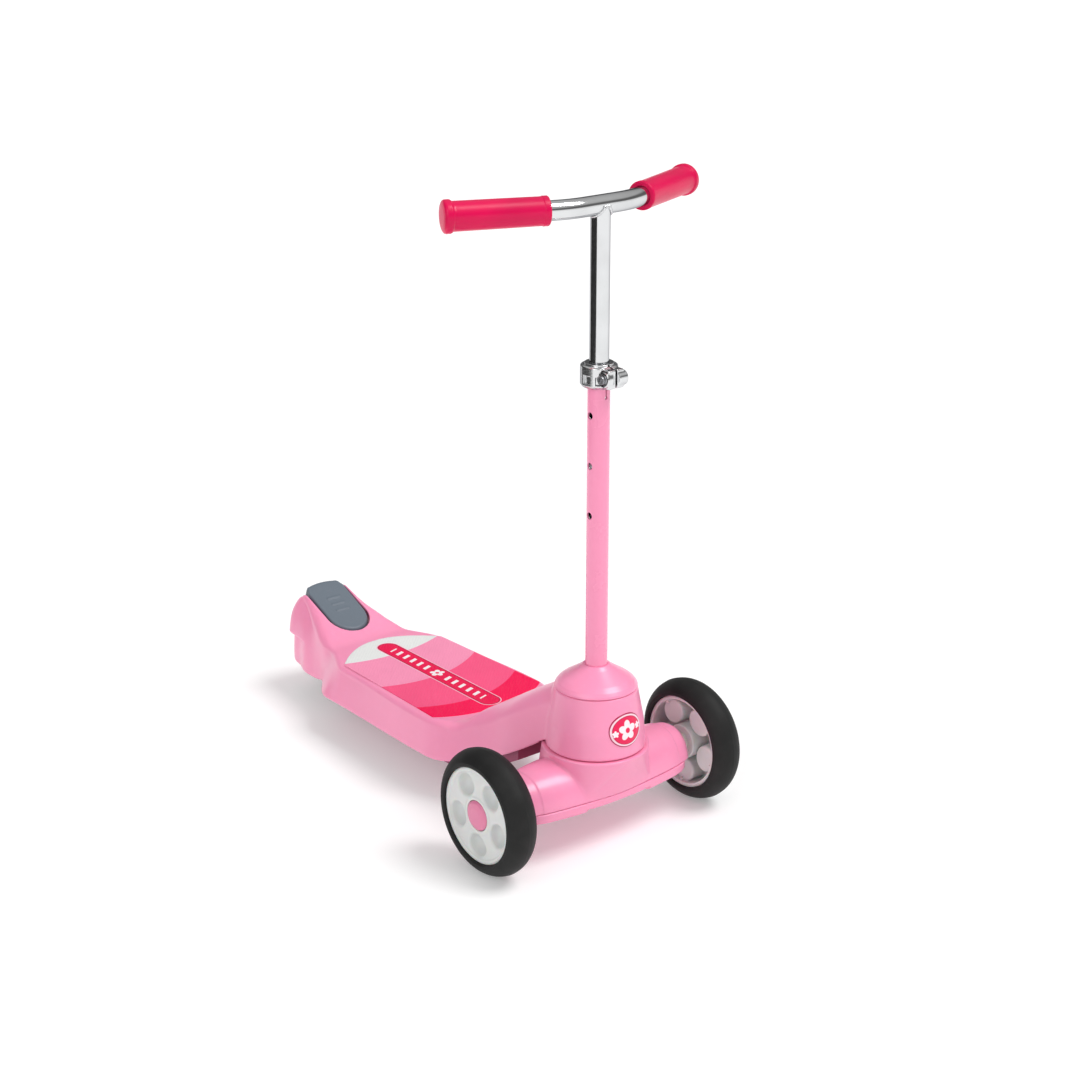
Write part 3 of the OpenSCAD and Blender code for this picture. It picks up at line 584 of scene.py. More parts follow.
def column():
    foot, rows = 74.2, 60
    levels = [foot + i * (COLUMN_TOP - foot) / rows for i in range(rows + 1)]
    verts, faces = tube_rows(COLUMN_R, levels)
    obj = make("steering_tube", verts, faces, "steering", "column_paint", "column_tube")
    cutters = [rod_cutter(3.5, -12.2, 0, z) for z in HOLES]
    slit_low = COLUMN_TOP - 28
    ends = (slit_low, COLUMN_TOP + 5)
    box = [(AXIS + x, y, z) for x in (2, 16) for y in (-1, 1) for z in ends]
    sides = [(0, 1, 3, 2), (4, 6, 7, 5), (0, 4, 5, 1), (2, 3, 7, 6), (0, 2, 6, 4), (1, 5, 7, 3)]
    cutters.append(plug(box, sides))

    def point(r, a, h):
        return (AXIS + h, r * math.cos(a), slit_low + r * math.sin(a))

    slit_end = [(0, 2), (1.8, 2), (1.8, 16), (0, 16)]
    cutters.append(plug(*lathe(slit_end, 32, point, closed=False)))
    drilled(obj, cutters)
    return obj


def stem():
    foot, rows = 318, 40

    def cope(x):
        return BAR_Z - math.sqrt(max(STEM_R ** 2 - x * x, 0)) + 0.05

    levels = [foot + i * (BAR_Z - 10 - foot) / rows for i in range(rows + 1)] + [BAR_Z]
    verts, faces = tube_rows(STEM_R, levels, cope)
    obj = make("handlebar_stem", verts, faces, "handlebar", "chrome", "stem_tube", 40)
    drilled(obj, [rod_cutter(3.15, -10.6, 0, z) for z in HOLES])
    return obj


def bar_path(steps):
    """The crossbar's centre line: straight in the middle, bent back at both ends."""
    straight = BEND_Y - BEND_R * math.tan(SWEEP / 2)
    half = [(AXIS, straight * i / 6) for i in range(7)]
    for i in range(1, steps + 1):
        a = SWEEP * i / steps
        half.append((AXIS - BEND_R * (1 - math.cos(a)), straight + BEND_R * math.sin(a)))
    end_u, end_y = half[-1]
    for i in range(1, 9):
        out = 90 * i / 8
        half.append((end_u - math.sin(SWEEP) * out, end_y + math.cos(SWEEP) * out))
    points = [(u, -y) for u, y in half[:0:-1]] + half
    return [(u, y, BAR_Z) for u, y in points]


def crossbar():
    verts, faces = sweep(bar_path(20), STEM_R, 72, TUBE_WALL)
    return make("handlebar_crossbar", verts, faces, "handlebar", "chrome", "crossbar", 40)


def weld():
    """The bead round the joint of stem and crossbar."""
    count = 160
    path = []
    for k in range(count):
        a = 2 * math.pi * k / count
        x, y = (STEM_R + 0.5) * math.cos(a), (STEM_R + 0.5) * math.sin(a)
        inner = min(abs(x), STEM_R)
        path.append(Vector((AXIS + x, y, BAR_Z - math.sqrt(STEM_R ** 2 - inner ** 2) - 0.35)))
    verts, faces = [], []
    sides = 12
    for i, p in enumerate(path):
        t = (path[(i + 1) % count] - path[i - 1]).normalized()
        out = Vector((p.x - AXIS, p.y, 0)).normalized()
        third = t.cross(out).normalized()
        r = 1.45 * (1 + 0.12 * math.sin(2 * math.pi * i / 5))
        for j in range(sides):
            b = 2 * math.pi * j / sides
            verts.append(p + out * r * math.cos(b) + third * r * math.sin(b))
    for i in range(count):
        for j in range(sides):
            a, b = i * sides, (i + 1) % count * sides
            q = (j + 1) % sides
            faces.append((a + j, b + j, b + q, a + q))
    return make("weld_bead", verts, faces, "handlebar", "chrome")


def grip(side, name):
    straight = BEND_Y - BEND_R * math.tan(SWEEP / 2)
    start = (AXIS - BEND_R * (1 - math.cos(SWEEP)), straight + BEND_R * math.sin(SWEEP))
    def point(r, a, h):
        out = -math.sin(SWEEP) * h + math.cos(SWEEP) * r * math.cos(a)
        along = math.cos(SWEEP) * h + math.sin(SWEEP) * r * math.cos(a)
        return (start[0] + out, side * (start[1] + along), BAR_Z + side * r * math.sin(a))
    profile = rounded([
        (STEM_R + 0.05, 1, 0.3), (13.4, 1, 0.9), (14.1, 2, 0.8), (14.1, 6.6, 0.8),
        (13.6, 7.4, 0.8), (13.8, 40, 20), (14, 90.5, 1.2), (14.3, 92.6, 1.0), (15.3, 93.4, 1.0),
        (15.7, 94.6, 1.4), (15.7, 98.6, 1.6), (15.0, 100.2, 1.5), (13, 101.2, 3), (9, 101.7, 8),
        (0, 102, 0), (0, 91, 0), (STEM_R + 0.05, 91, 0.3)], 5)
    verts, faces = lathe(profile, 128, point)
    return make("handle_" + name, verts, faces, "handlebar", "grip_rubber", "grip_" + name, 50)


def clamp_field(x, y, z):
    """The split collar with its ears, pockets and the bolt's bore."""
    x = x - AXIS
    r = np.hypot(x, y)
    side = 18.3 - np.maximum(480.8 - z, 0) * 0.75 - np.maximum(z - 498.4, 0) * 0.8
    collar = smin(side - r, smin(z - 477.6, 500 - z, 0.6), 1.2)
    ring = smin(14.5 - r, smin(501.6 - z, z - 495, 0.6), 0.7)
    ears = smin(smin(25.4 - x, 10 - np.abs(y), 2), smin(z - 480, 498.5 - z, 2), 1.6)
    ears = smin(ears, x, 1)
    boss = smin(7.5 - np.hypot(x - 21, z - CLAMP_Z), smin(y - 2, 13.2 - y, 1), 1.6)
    boss_seat = smin(7.2 - np.hypot(x - 20, z - CLAMP_Z), smin(y + 11.6, -4 - y, 1), 1.5)
    solid = smax(smax(smax(collar, ears, 2), smax(boss, boss_seat, 1), 2), ring, 0.5)
    groove = 0.8 - np.hypot(r - 15.4, z - 500)
    solid = smin(solid, -groove, 0.4)
    for angle in (-82, -38):
        c, s = math.cos(math.radians(angle)), math.sin(math.radians(angle))
        along, side_way = x * c + y * s, -x * s + y * c
        pocket = smin(along - 15.2, 4.2 - np.abs(side_way), 1)
        pocket = smin(pocket, smin(z - 482.2, 490.6 - z, 1), 1)
        solid = smin(solid, -pocket, 0.6)
    bore = np.where(z < COLUMN_TOP + 0.3, COLUMN_R + 0.1, STEM_R + 0.35)
    solid = np.minimum(solid, r - bore)
    solid = smin(solid, -np.minimum(1.1 - np.abs(y), x - 5), 0.4)
    from_bolt = np.hypot(x - BOLT_X, z - CLAMP_Z)
    solid = np.minimum(solid, from_bolt - 2.7)
    head = np.minimum(4.7 - from_bolt, -10.1 - y)
    return np.minimum(solid, -head)


def clamp():
    points, quads = skin(clamp_field, (AXIS - 21, -21, 475), (AXIS + 31, 21, 504), 0.42)
    return make("split_collar", points, quads, "steering", "clamp_metal", "clamp_collar")


# ---------------------------------------------------------------- wheels

def tyre(side, name):
    """A round tyre with a bead at each edge, a fine moulding line and a rib into the rim."""
    bead = [(50.35, 16.4), (50.6, 17.1), (51.3, 17.5), (53.0, 17.5), (53.6, 17.3), (54.3, 17.42)]
    profile = [(r, -h) for r, h in bead]
    for i in range(33):
        h = -17.4 + 34.8 * i / 32
        rib = 0.22 * math.exp(-(h / 0.35) ** 2)
        profile.append((46.58 + math.sqrt(19 ** 2 - h * h) + rib, h))
    profile += bead[::-1]
    profile += [(50.35, 7), (52.6, 7), (52.6, -7), (50.35, -7)]
    verts, faces = lathe(profile[::-1], 192, wheel_point(side))
    body, node = "wheel_" + name, "tyre_" + name
    return make("front_tyre_" + name, verts, faces, body, "tyre_rubber", node, 50)


def hub_field(a, h, b):
    """A wheel's hub: rim, face and boss with five cups, h outward along the axle."""
    r = np.hypot(a, b)
    rim = smin(smin(50.3 - r, r - 45.6, 1), 14.5 - np.abs(h), 1.6)
    seat = smin(smin(52.3 - r, r - 48, 0.5), 6.8 - np.abs(h), 0.5)
    face = smin(smin(47 - r, r - 14, 1), smin(13.2 - h, h - 9.6, 1), 0.8)
    boss = smin(smin(18.5 - r, r - 6, 0.5), smin(13.6 - h, h + 14.5, 1), 1)
    solid = smax(smax(rim, seat, 0.3), smax(face, boss, 2), 1.5)
    inner_cups = bowls = None
    for i in range(5):
        angle = math.radians(72 * i - 19)
        c, s = math.cos(angle), math.sin(angle)
        along, side = a * c + b * s, -a * s + b * c
        d = np.hypot(along - 33, side * 0.88)
        cup = smin(13.2 - d, smin(h + 9.6, 12.6 - h, 1), 2.4)
        rib = smin(1.3 - np.abs(side), smin(along - 43, 48 - along, 0.5), 0.4)
        rib = smin(rib, smin(h + 12.6, 11 - h, 0.5), 0.4)
        cup = smax(cup, rib, 0.8)
        bowl = smin(11.6 + 0.35 * (h - 13) - d, h - 2.5, 7)
        inner_cups = cup if inner_cups is None else smax(inner_cups, cup, 1)
        bowls = bowl if bowls is None else np.maximum(bowls, bowl)
    solid = smax(solid, inner_cups, 1.2)
    solid = smin(solid, -bowls, 2.6)
    seat_cut = np.minimum(15.9 - r, h - 7.9)
    solid = smin(solid, -seat_cut, 0.5)
    return np.minimum(solid, r - 6.05)


def hub(side, name):
    points, quads = skin(hub_field, (-54, -16.5, -54), (54, 16.5, 54), 0.78)
    placed = np.column_stack((points[:, 0], side * (TRACK + points[:, 1]), WHEEL_R + points[:, 2]))
    if side < 0:
        quads = quads[:, ::-1]
    return make("front_hub_" + name, placed, quads, "wheel_" + name, "hub_plastic", "hub_" + name)


def wheel_cap(side, name):
    profile = rounded([
        (0, 16.7, 0), (8, 16.4, 12), (13.2, 15.4, 3), (15.3, 13.7, 0.8), (15.3, 8.1, 0.3),
        (14, 8.1, 0.3), (14, 12.7, 0.5), (0, 14.7, 0)], 6)
    verts, faces = lathe(profile, 96, wheel_point(side))
    body, node = "wheel_" + name, "hub_cap_" + name
    return make("wheel_cap_" + name, verts, faces, body, "cap_pink", node, 45)


# ---------------------------------------------------------------- sheet, badge, pedal

def mat_half(t):
    """Place along the sheet and half its width there, for t from 0 at its back to 1."""
    u = -389 + 234 * (1 - math.cos(math.pi * t)) / 2
    back = min(1, max(0, (u + 389.5) / 38)) ** 0.5
    front = min(1, max(0, (-154.5 - u) / 22)) ** 0.42
    return u, (66 + 8 * (u + 389) / 234) * min(back, front)


def grip_sheet():
    """The printed sheet: a thin plate whose edge rolls down."""
    ring_count = 180
    edge = []
    for i in range(ring_count):
        t = i / ring_count * 2
        s = 1 if t <= 1 else -1
        u, half = mat_half(t if t <= 1 else 2 - t)
        edge.append((u, s * half))
    centre_u = -272.0
    base = DECK_H + 0.05
    levels = [(1.0, base), (1.0, base + 0.45), (0.997, base + 0.66), (0.991, base + 0.77)]
    levels += [(1 - 0.06 * i, base + 0.77) for i in range(1, 16)]
    verts, faces = [], []
    for scale, z in levels:
        for u, y in edge:
            verts.append((centre_u + (u - centre_u) * scale, y * scale, z))
    n = ring_count
    for level in range(len(levels) - 1):
        a, b = level * n, (level + 1) * n
        for k in range(n):
            q = (k + 1) % n
            faces.append((a + k, b + k, b + q, a + q))
    verts.append((centre_u, 0, base + 0.77))
    last = (len(levels) - 1) * n
    faces += [(last + k, len(verts) - 1, last + (k + 1) % n) for k in range(n)]
    faces.append(tuple(range(n)))
    return make("grip_sheet", verts, faces, "deck", "grip_sheet", "deck_mat", 60)


def badge():
    """The oval badge: a thin crowned plate that follows the ring."""
    rings, count = 28, 120
    crown = 1.15
    verts, faces = [], []

    def place(ry, rz, lift):
        z = BADGE_Z + rz
        r = float(ring_radius(z)) + lift
        a = ry / r
        return (AXIS + r * math.cos(a), r * math.sin(a), z)

    rows = [(i / rings, crown - 0.35 * (i / rings) ** 2) for i in range(1, rings)]
    rows += [(1.0, crown - 0.85), (1.0, -0.4)]
    verts.append(place(0, 0, crown))
    for rho, lift in rows:
        for k in range(count):
            a = 2 * math.pi * k / count
            verts.append(place(BADGE_A * rho * math.cos(a), BADGE_B * rho * math.sin(a), lift))
    for k in range(count):
        faces.append((0, 1 + k, 1 + (k + 1) % count))
    for row in range(len(rows) - 1):
        a, b = 1 + row * count, 1 + (row + 1) * count
        for k in range(count):
            q = (k + 1) % count
            faces.append((a + k, b + k, b + q, a + q))
    verts.append(place(0, 0, -0.4))
    a = 1 + (len(rows) - 1) * count
    faces += [(a + (k + 1) % count, a + k, len(verts) - 1) for k in range(count)]
    return make("oval_badge", verts, faces, "deck", "badge", "head_badge", 60)


ARM_SHAPE = [
    (-447, 104), (-431, 97), (-425, 84.5), (-418, 82), (-411, 81), (-411, 75), (-418, 73.5),
    (-426, 75), (-433, 84), (-447, 97),
]


def pedal_field(u, y, z):
    """The foot pedal: a folded plate with a skirt, three ridges and two hinge arms."""
    slope = 34.5 / 78
    top = ((93.5 + slope * (-421 - u)) - z) * math.cos(math.atan(slope))
    nx, nz = 22.5, 9.0
    size = math.hypot(nx, nz)
    rear = ((u + 500) * nx - (z - 128) * nz) / size + 0.2 - 0.008 * y * y
    outer = smin(top, rear, 7)
    half = 24.5 - 2 * rise(-486, -492, u) - 2.5 * rise(-492, -500, u) - 2 * rise(-500, -516, u)
    plan = half - np.hypot(y, np.maximum(u + 421 + 24.5, 0))
    skirt_in = smin(np.minimum(outer, 11 - outer), 2.6 - plan, 1)
    plate = smin(smax(smin(outer, 4.2 - outer, 1.6), skirt_in, 1), plan, 3.2)
    plate = smin(plate, np.maximum(z - 97.8, u + 499), 1.5)
    for i in range(3):
        at = -452 - 9.5 * i
        bar = 1.5 - np.hypot(u - at, np.maximum(np.abs(y) - 7.5, 0))
        ridge = smin(bar, top + 0.75, 0.8)
        ridge = np.minimum(ridge, 2 - top)
        plate = smax(plate, ridge, 0.7)
    arms = outline_distance(ARM_SHAPE, u, z)
    in_arm = 2 - np.abs(np.abs(y) - 9)
    from_hinge = np.hypot(u - HINGE_U, z - HINGE_Z)
    arms = np.minimum(arms, in_arm)
    boss = np.minimum(5 - from_hinge, in_arm)
    solid = smax(plate, np.maximum(arms, boss), 0.8)
    return np.minimum(solid, from_hinge - 2.55)


def pedal():
    points, quads = skin(pedal_field, (-517, -27, 70), (-406, 27, 132), 0.75)
    return make("foot_pedal", points, quads, "pedal", "pedal_grey", "brake_pedal")


# ---------------------------------------------------------------- materials

def linear(r, g, b):
    """Colour from 0 to 255 values as the eye reads them."""
    out = []
    for v in (r, g, b):
        v = v / 255
        out.append(v / 12.92 if v <= 0.04045 else ((v + 0.055) / 1.055) ** 2.4)
    return (*out, 1.0)


class Value:
    """A number inside a material's node tree, with plain arithmetic."""

    def __init__(self, tree, source):
        self.tree, self.source = tree, source

    def calc(self, op, *others, clamp=False):
        node = self.tree.nodes.new("ShaderNodeMath")
        node.operation = op
        node.use_clamp = clamp
        for i, item in enumerate((self, *others)):
            if isinstance(item, Value):
                self.tree.links.new(item.source, node.inputs[i])
            else:
                node.inputs[i].default_value = item
        return Value(self.tree, node.outputs[0])

    def __add__(self, o): return self.calc("ADD", o)
    def __sub__(self, o): return self.calc("SUBTRACT", o)
    def __mul__(self, o): return self.calc("MULTIPLY", o)
    def __truediv__(self, o): return self.calc("DIVIDE", o)
    def __neg__(self): return self.calc("MULTIPLY", -1)
    def high(self, o): return self.calc("MAXIMUM", o)
    def sine(self): return self.calc("SINE")
    def size(self): return self.calc("ABSOLUTE")
    def clamped(self): return self.calc("MULTIPLY", 1.0, clamp=True)

    def above(self, limit, soft):
        """0 below the limit and 1 above it, over a soft width."""
        return ((self - limit) / soft + 0.5).clamped()


class Finish:
    """Builds one Principled material from layered colours, roughness and height."""

    def __init__(self, name, rough, metal=0.0, coat=0.0, coat_rough=0.1, soft=0.0, specular=0.5):
        self.material = bpy.data.materials.new(name)
        self.material.use_nodes = True
        self.tree = self.material.node_tree
        self.shader = self.tree.nodes["Principled BSDF"]
        self.shader.inputs["Metallic"].default_value = metal
        self.shader.inputs["Coat Weight"].default_value = coat
        self.shader.inputs["Coat Roughness"].default_value = coat_rough
        self.shader.inputs["Subsurface Weight"].default_value = soft
        self.shader.inputs["Subsurface Scale"].default_value = 0.004
        self.shader.inputs["Specular IOR Level"].default_value = specular
        # Painted shade: the dark grey specular tint darkens metal reflections towards grazing
        # angles, so round metal parts show dark edges as if they faced dark surroundings.
        if metal:
            self.shader.inputs["Specular Tint"].default_value = (0.3, 0.3, 0.32, 1)
        coords = self.tree.nodes.new("ShaderNodeTexCoord")
        self.coords = coords.outputs["Object"]
        self.rough = rough
        self.colour = None
        self.height = None

    def axis(self):
        split = self.tree.nodes.new("ShaderNodeSeparateXYZ")
        self.tree.links.new(self.coords, split.inputs[0])
        return [Value(self.tree, s) for s in split.outputs]

    def noise(self, scale, detail=3.0, stretch=None):
        source = self.coords
        if stretch:
            mapping = self.tree.nodes.new("ShaderNodeMapping")
            mapping.inputs["Scale"].default_value = stretch
            self.tree.links.new(source, mapping.inputs["Vector"])
            source = mapping.outputs["Vector"]
        node = self.tree.nodes.new("ShaderNodeTexNoise")
        node.inputs["Scale"].default_value = scale
        node.inputs["Detail"].default_value = detail
        self.tree.links.new(source, node.inputs["Vector"])
        return Value(self.tree, node.outputs["Fac"])

    def cells(self, scale):
        node = self.tree.nodes.new("ShaderNodeTexVoronoi")
        node.inputs["Scale"].default_value = scale
        self.tree.links.new(self.coords, node.inputs["Vector"])
        return Value(self.tree, node.outputs["Distance"])

    def edges(self, start=0.52, soft=0.06):
        geometry = self.tree.nodes.new("ShaderNodeNewGeometry")
        return Value(self.tree, geometry.outputs["Pointiness"]).above(start, soft)

    def lay(self, colour, amount=None):
        """Puts a colour over what is there, where amount is 1."""
        if self.colour is None:
            node = self.tree.nodes.new("ShaderNodeRGB")
            node.outputs[0].default_value = colour
            self.colour = node.outputs[0]
            return
        node = self.tree.nodes.new("ShaderNodeMix")
        node.data_type = "RGBA"
        self.tree.links.new(self.colour, node.inputs[6])
        node.inputs[7].default_value = colour
        if isinstance(amount, Value):
            self.tree.links.new(amount.source, node.inputs[0])
        else:
            node.inputs[0].default_value = amount
        self.colour = node.outputs[2]

    def shade(self, dark, amount):
        """Darkens by a pattern."""
        node = self.tree.nodes.new("ShaderNodeMix")
        node.data_type = "RGBA"
        node.blend_type = "MULTIPLY"
        self.tree.links.new(self.colour, node.inputs[6])
        node.inputs[7].default_value = (dark, dark, dark, 1)
        self.tree.links.new(amount.source, node.inputs[0])
        self.colour = node.outputs[2]

    def raise_by(self, pattern):
        self.height = pattern if self.height is None else self.height + pattern

    def done(self, rough_pattern=None, spread=0.1, bump=0.2, distance=0.0003):
        self.tree.links.new(self.colour, self.shader.inputs["Base Color"])
        if rough_pattern is None:
            rough_pattern = self.noise(35)
        value = (rough_pattern - 0.5) * spread + self.rough
        self.tree.links.new(value.clamped().source, self.shader.inputs["Roughness"])
        if self.height is not None:
            node = self.tree.nodes.new("ShaderNodeBump")
            node.inputs["Strength"].default_value = bump
            node.inputs["Distance"].default_value = distance
            self.tree.links.new(self.height.source, node.inputs["Height"])
            self.tree.links.new(node.outputs["Normal"], self.shader.inputs["Normal"])
        return self.material


def moulded(name, colour, rough=0.34, coat=0.25, soft=0.06, grain=900, deep=0.9, vary=0.35):
    """Injection moulded plastic: faint flow clouds, a fine skin and paler rubbed edges."""
    f = Finish(name, rough, coat=coat, coat_rough=0.22, soft=soft)
    f.lay(colour)
    f.shade(deep, f.noise(9, 4).above(0.52, 0.3) * vary)
    pale = tuple(min(1, c * 1.12 + 0.03) for c in colour[:3]) + (1,)
    f.lay(pale, f.noise(160, 2).above(0.62, 0.2) * 0.12)
    f.lay(pale, f.edges() * 0.25)
    f.raise_by(f.noise(grain, 2))
    f.raise_by(f.noise(60, 2) * 1.4)
    return f.done(f.noise(45, 3), 0.16, 0.1, 0.0002)


def metal(name, colour, rough, brush=0.0, spread=0.08, stretch=None, bump=0.05):
    f = Finish(name, rough, metal=1.0)
    f.lay(colour)
    f.shade(0.72, f.noise(26, 4).above(0.55, 0.25) * 0.35)
    f.lay((0.35, 0.33, 0.31, 1), f.noise(240, 3).above(0.74, 0.05) * 0.3)
    pattern = f.noise(500, 2, stretch or (1, 1, 1))
    f.raise_by(pattern * (1 + brush))
    f.raise_by(f.noise(40, 2) * 0.6)
    return f.done(f.noise(70, 3), spread, bump, 0.0001)


def rubber(name, colour, rough=0.62):
    f = Finish(name, rough, specular=0.3)
    f.lay(colour)
    f.shade(0.7, f.noise(18, 4).above(0.5, 0.3) * 0.4)
    f.lay((0.03, 0.0295, 0.029, 1), f.noise(70, 5).above(0.6, 0.3) * 0.2)
    f.lay((0.035, 0.035, 0.035, 1), f.edges(0.53, 0.05) * 0.25)
    f.raise_by(f.noise(1400, 3))
    f.raise_by(f.cells(420) * 0.5)
    return f.done(f.noise(55, 4), 0.2, 0.25, 0.0002)


def vinyl(name, colour):
    """Glossy dipped grip with faint lines along it."""
    f = Finish(name, 0.34, coat=0.06, coat_rough=0.2, soft=0.03, specular=0.24)
    f.lay(colour)
    f.shade(0.7, f.noise(40, 3, (1, 0.2, 1)).above(0.5, 0.3) * 0.45)
    f.lay(linear(240, 50, 110), f.edges() * 0.3)
    f.raise_by(f.noise(900, 2, (1, 0.06, 1)))
    f.raise_by(f.noise(120, 3) * 1.2)
    return f.done(f.noise(60, 3, (1, 0.25, 1)), 0.18, 0.22, 0.0003)


def hub_finish():
    f = Finish("hub_plastic", 0.42, coat=0.1, coat_rough=0.3, soft=0.3)
    f.lay(linear(216, 217, 216))
    f.shade(0.86, f.noise(20, 4).above(0.5, 0.35) * 0.4)
    f.lay(linear(232, 234, 232), f.edges() * 0.4)
    f.raise_by(f.noise(700, 2))
    f.raise_by(f.noise(80, 2) * 1.2)
    return f.done(f.noise(60, 3), 0.14, 0.1, 0.0002)


def flower(a, b, reach):
    """1 inside a plain five petalled flower of the given reach, 0 outside."""
    angle = b.calc("ARCTAN2", a)
    r = (a * a + b * b).calc("SQRT")
    petals = (angle * 2.5).calc("COSINE").size() * 0.42 + 0.58
    soft = reach * 0.06
    return (petals * reach - r).above(0, soft), (-r + reach * 0.26).above(0, soft)


def sheet_finish():
    """Printed grip sheet: three curved bands of pink and a pale end, and a long rounded label
    with plain bars and a flower."""
    f = Finish("printed_sheet", 0.5, coat=0.03, coat_rough=0.3, specular=0.22)
    x, y, _ = f.axis()
    u = (x - FRONT) * 1000
    y = y * 1000
    bend = y * y
    f.lay(linear(233, 235, 233))
    f.lay(linear(251, 150, 186), (u - (bend * -0.0031 + y * -0.012 - 340.5)).above(0, 0.6))
    f.lay(linear(253, 88, 136), (u - (bend * -0.0042 + y * -0.11 - 262)).above(0, 0.6))
    f.lay(linear(250, 4, 84), (u - (bend * -0.0048 + y * -0.09 - 188)).above(0, 0.6))
    centre = -267.5
    along = ((u - centre).size() - 94).high(0)
    r = (along * along + y * y).calc("SQRT")
    f.lay(linear(253, 196, 214), (-r).above(-13.4, 0.4))
    f.lay(linear(196, 8, 70), (-r).above(-12.3, 0.4))
    f.lay(linear(238, 0, 78), (-r).above(-10.6, 0.4))
    half_step = 6.5
    lean = u + y * 0.3 - centre
    lane = lean.calc("PINGPONG", half_step)
    bars = (-(lane - half_step).size()).above(-2.4, 0.4) * (-y.size()).above(-5.2, 0.4)
    between = lean.size().above(16, 0.3) * (-lean.size()).above(-84.5, 0.3)
    f.lay(linear(250, 240, 243), bars * between)
    petals, eye = flower(u - centre, y, 8.6)
    f.lay(linear(250, 240, 243), petals)
    f.lay(linear(238, 0, 78), eye)
    dots = ((u * 1.45).sine() * (y * 1.45).sine()).above(0.45, 0.5)
    f.shade(0.9, dots * 0.22)
    f.shade(0.88, f.noise(22, 4).above(0.55, 0.25) * 0.3)
    f.raise_by(dots * 3)
    f.raise_by(f.noise(900, 2) * 0.6)
    return f.done(f.noise(60, 4), 0.2, 0.5, 0.0003)


def badge_finish():
    """Printed oval: crimson rim, pale ring, hot pink field with a plain flower."""
    f = Finish("oval_badge", 0.3, coat=0.2, coat_rough=0.08, specular=0.35)
    _, y, z = f.axis()
    a, b = y * 1000, (z * 1000 - BADGE_Z)
    oval = ((a * a) / BADGE_A ** 2 + (b * b) / BADGE_B ** 2).calc("SQRT")
    f.lay(linear(178, 22, 78))
    f.lay(linear(250, 214, 226), (-oval).above(-0.94, 0.02))
    f.lay(linear(192, 10, 72), (-oval).above(-0.845, 0.02))
    f.lay(linear(236, 0, 82), (-oval).above(-0.8, 0.02))
    petals, eye = flower(b, a, 10.5)
    f.lay(linear(252, 236, 242), petals)
    f.lay(linear(236, 0, 82), eye)
    for s in (-1, 1):
        small, _ = flower(b + 1.5 * s, a + 14.2 * s, 3.6)
        f.lay(linear(252, 236, 242), small)
    f.shade(0.9, f.noise(90, 3).above(0.55, 0.25) * 0.25)
    f.raise_by((-oval).above(-0.9, 0.05) * 2)
    f.raise_by(f.noise(500, 2) * 0.4)
    return f.done(f.noise(80, 3), 0.12, 0.15, 0.0002)


def floor_finish():
    f = Finish("studio_floor", 0.9, specular=0.1)
    f.lay((0.82, 0.82, 0.82, 1))
    f.shade(0.985, f.noise(1.5, 2))
    f.shader.inputs["Emission Color"].default_value = (1, 1, 1, 1)
    f.shader.inputs["Emission Strength"].default_value = 0.24
    return f.done(f.noise(3), 0.05)


def sheet_of(name, corners, material):
    """A flat stage object."""
    mesh = bpy.data.meshes.new(name)
    mesh.from_pydata(corners, [], [(0, 1, 2, 3)])
    obj = link(name, mesh)
    paint(obj, material)
    return obj


def floor():
    far = 14
    corners = [(-far, -far, 0), (far, -far, 0), (far, far, 0), (-far, far, 0)]
    sheet_of("floor", corners, floor_finish())


def card_finish():
    material = bpy.data.materials.new("card_black")
    material.use_nodes = True
    shader = material.node_tree.nodes["Principled BSDF"]
    shader.inputs["Base Color"].default_value = (0.03, 0.03, 0.03, 1)
    shader.inputs["Roughness"].default_value = 0.9
    shader.inputs["Specular IOR Level"].default_value = 0.1
    return material


def dark_card():
    """A photographer's dark card beside the scooter. It only shows in reflections,
    as the dark side of the chrome."""
    near, far, foot, top = (0.62, -1.9), (-1.3, -0.35), 0.001, 1.6
    corners = [(*near, foot), (*far, foot), (*far, top), (*near, top)]
    card = sheet_of("dark_card", corners, card_finish())
    card.visible_camera = False
    card.visible_diffuse = False
    card.visible_shadow = False


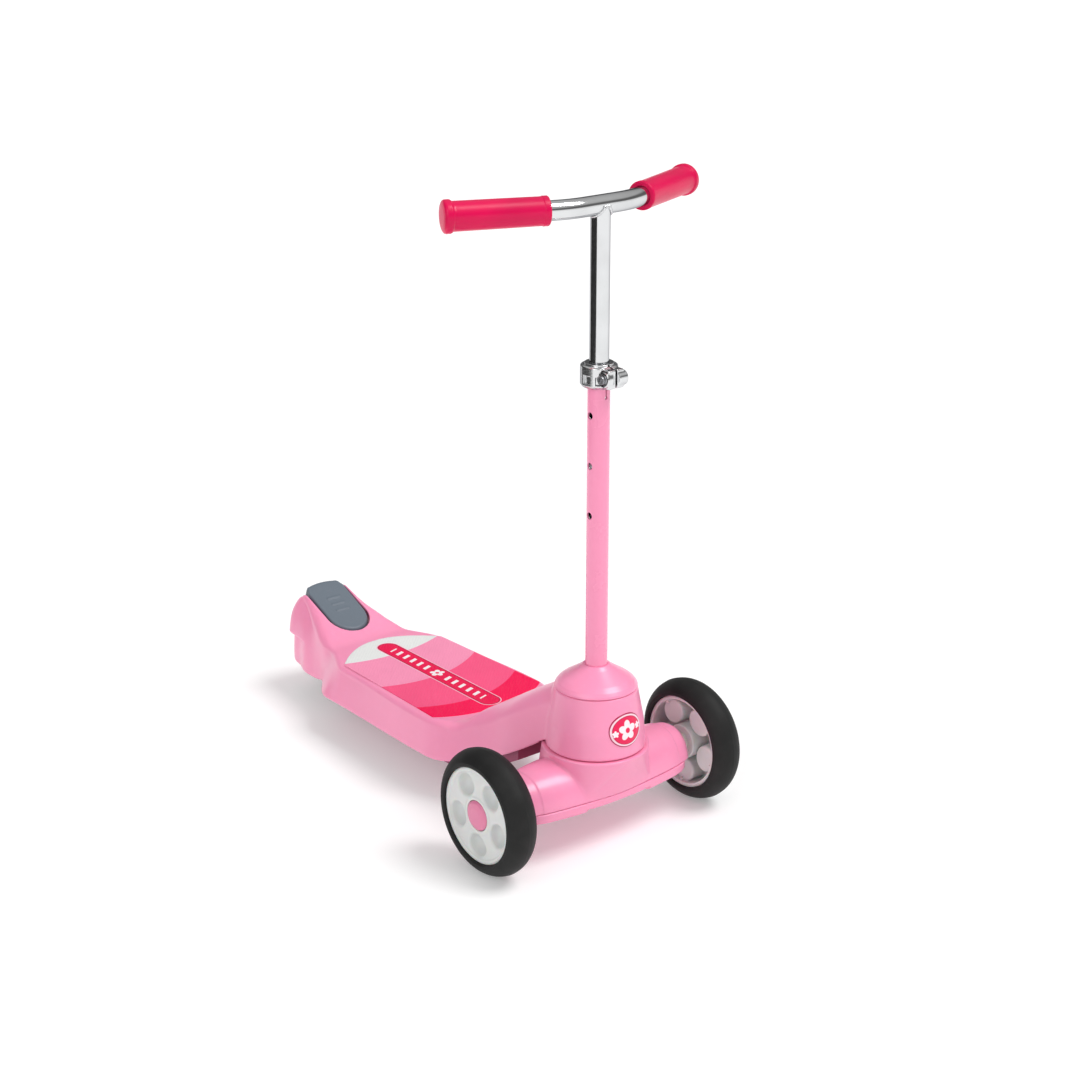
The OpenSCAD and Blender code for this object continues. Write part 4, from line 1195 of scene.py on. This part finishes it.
def finishes():
    """One material for each slot that the pieces and the record name."""
    return {
        "body_pink": moulded("body_pink", linear(252, 150, 188)),
        # Painted shade, in part: underside_pink is the body pink darkened well below it. This is
        # partly the underframe's own deeper pink and partly painted shade for where it sits under
        # the deck.
        "underside_pink": moulded("underside_pink", linear(150, 62, 98), 0.5, 0.05),
        "column_paint": moulded(
            "column_paint", linear(252, 148, 186), 0.26, 0.5, 0.0, 1500, 0.95, 0.2),
        "cap_pink": moulded("cap_pink", linear(226, 128, 164), 0.4, 0.15),
        "pedal_grey": moulded("pedal_grey", linear(100, 111, 122), 0.52, 0.03, 0.0, 1300),
        "bush_plastic": moulded("bush_plastic", linear(232, 228, 216), 0.45, 0.05),
        "hub_plastic": hub_finish(),
        "tyre_rubber": rubber("tyre_rubber", (0.0095, 0.0095, 0.0095, 1)),
        "shoe_rubber": rubber("shoe_rubber", (0.02, 0.02, 0.021, 1), 0.75),
        "grip_rubber": vinyl("grip_vinyl", linear(226, 0, 82)),
        "chrome": metal("chrome", (0.74, 0.75, 0.76, 1), 0.1),
        "clamp_metal": metal("clamp_metal", (0.76, 0.77, 0.78, 1), 0.2, 0.3, 0.14, None, 0.25),
        "axle_steel": metal("axle_steel", (0.52, 0.53, 0.55, 1), 0.34, 0.5, 0.16, (1, 12, 12), 0.2),
        "fastener_steel": metal("fastener_steel", (0.5, 0.51, 0.53, 1), 0.38, 0.3, 0.18, None, 0.3),
        "spring_steel": metal("spring_steel", (0.4, 0.41, 0.43, 1), 0.3, 0.2, 0.14, None, 0.2),
        "grip_sheet": sheet_finish(),
        "badge": badge_finish(),
    }


# ---------------------------------------------------------------- build

camera()
studio()
floor()
dark_card()
LOOKS = finishes()
pieces = [
    deck_moulding(), axle_housing(), housing_cover(), head_cap(), column(), stem(), crossbar(),
    weld(), grip(1, "left"), grip(-1, "right"), clamp(), grip_sheet(), badge(), pedal(),
]
for side, name in ((1, "left"), (-1, "right")):
    pieces += [tyre(side, name), hub(side, name), wheel_cap(side, name)]
for piece in pieces:
    paint(piece, LOOKS[piece.get("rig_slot", "body_pink")])
for part in frame["record"]["subparts"]:
    for place in NODES[part["node"]].material_slots:
        place.material = LOOKS[part["material_slot"]]
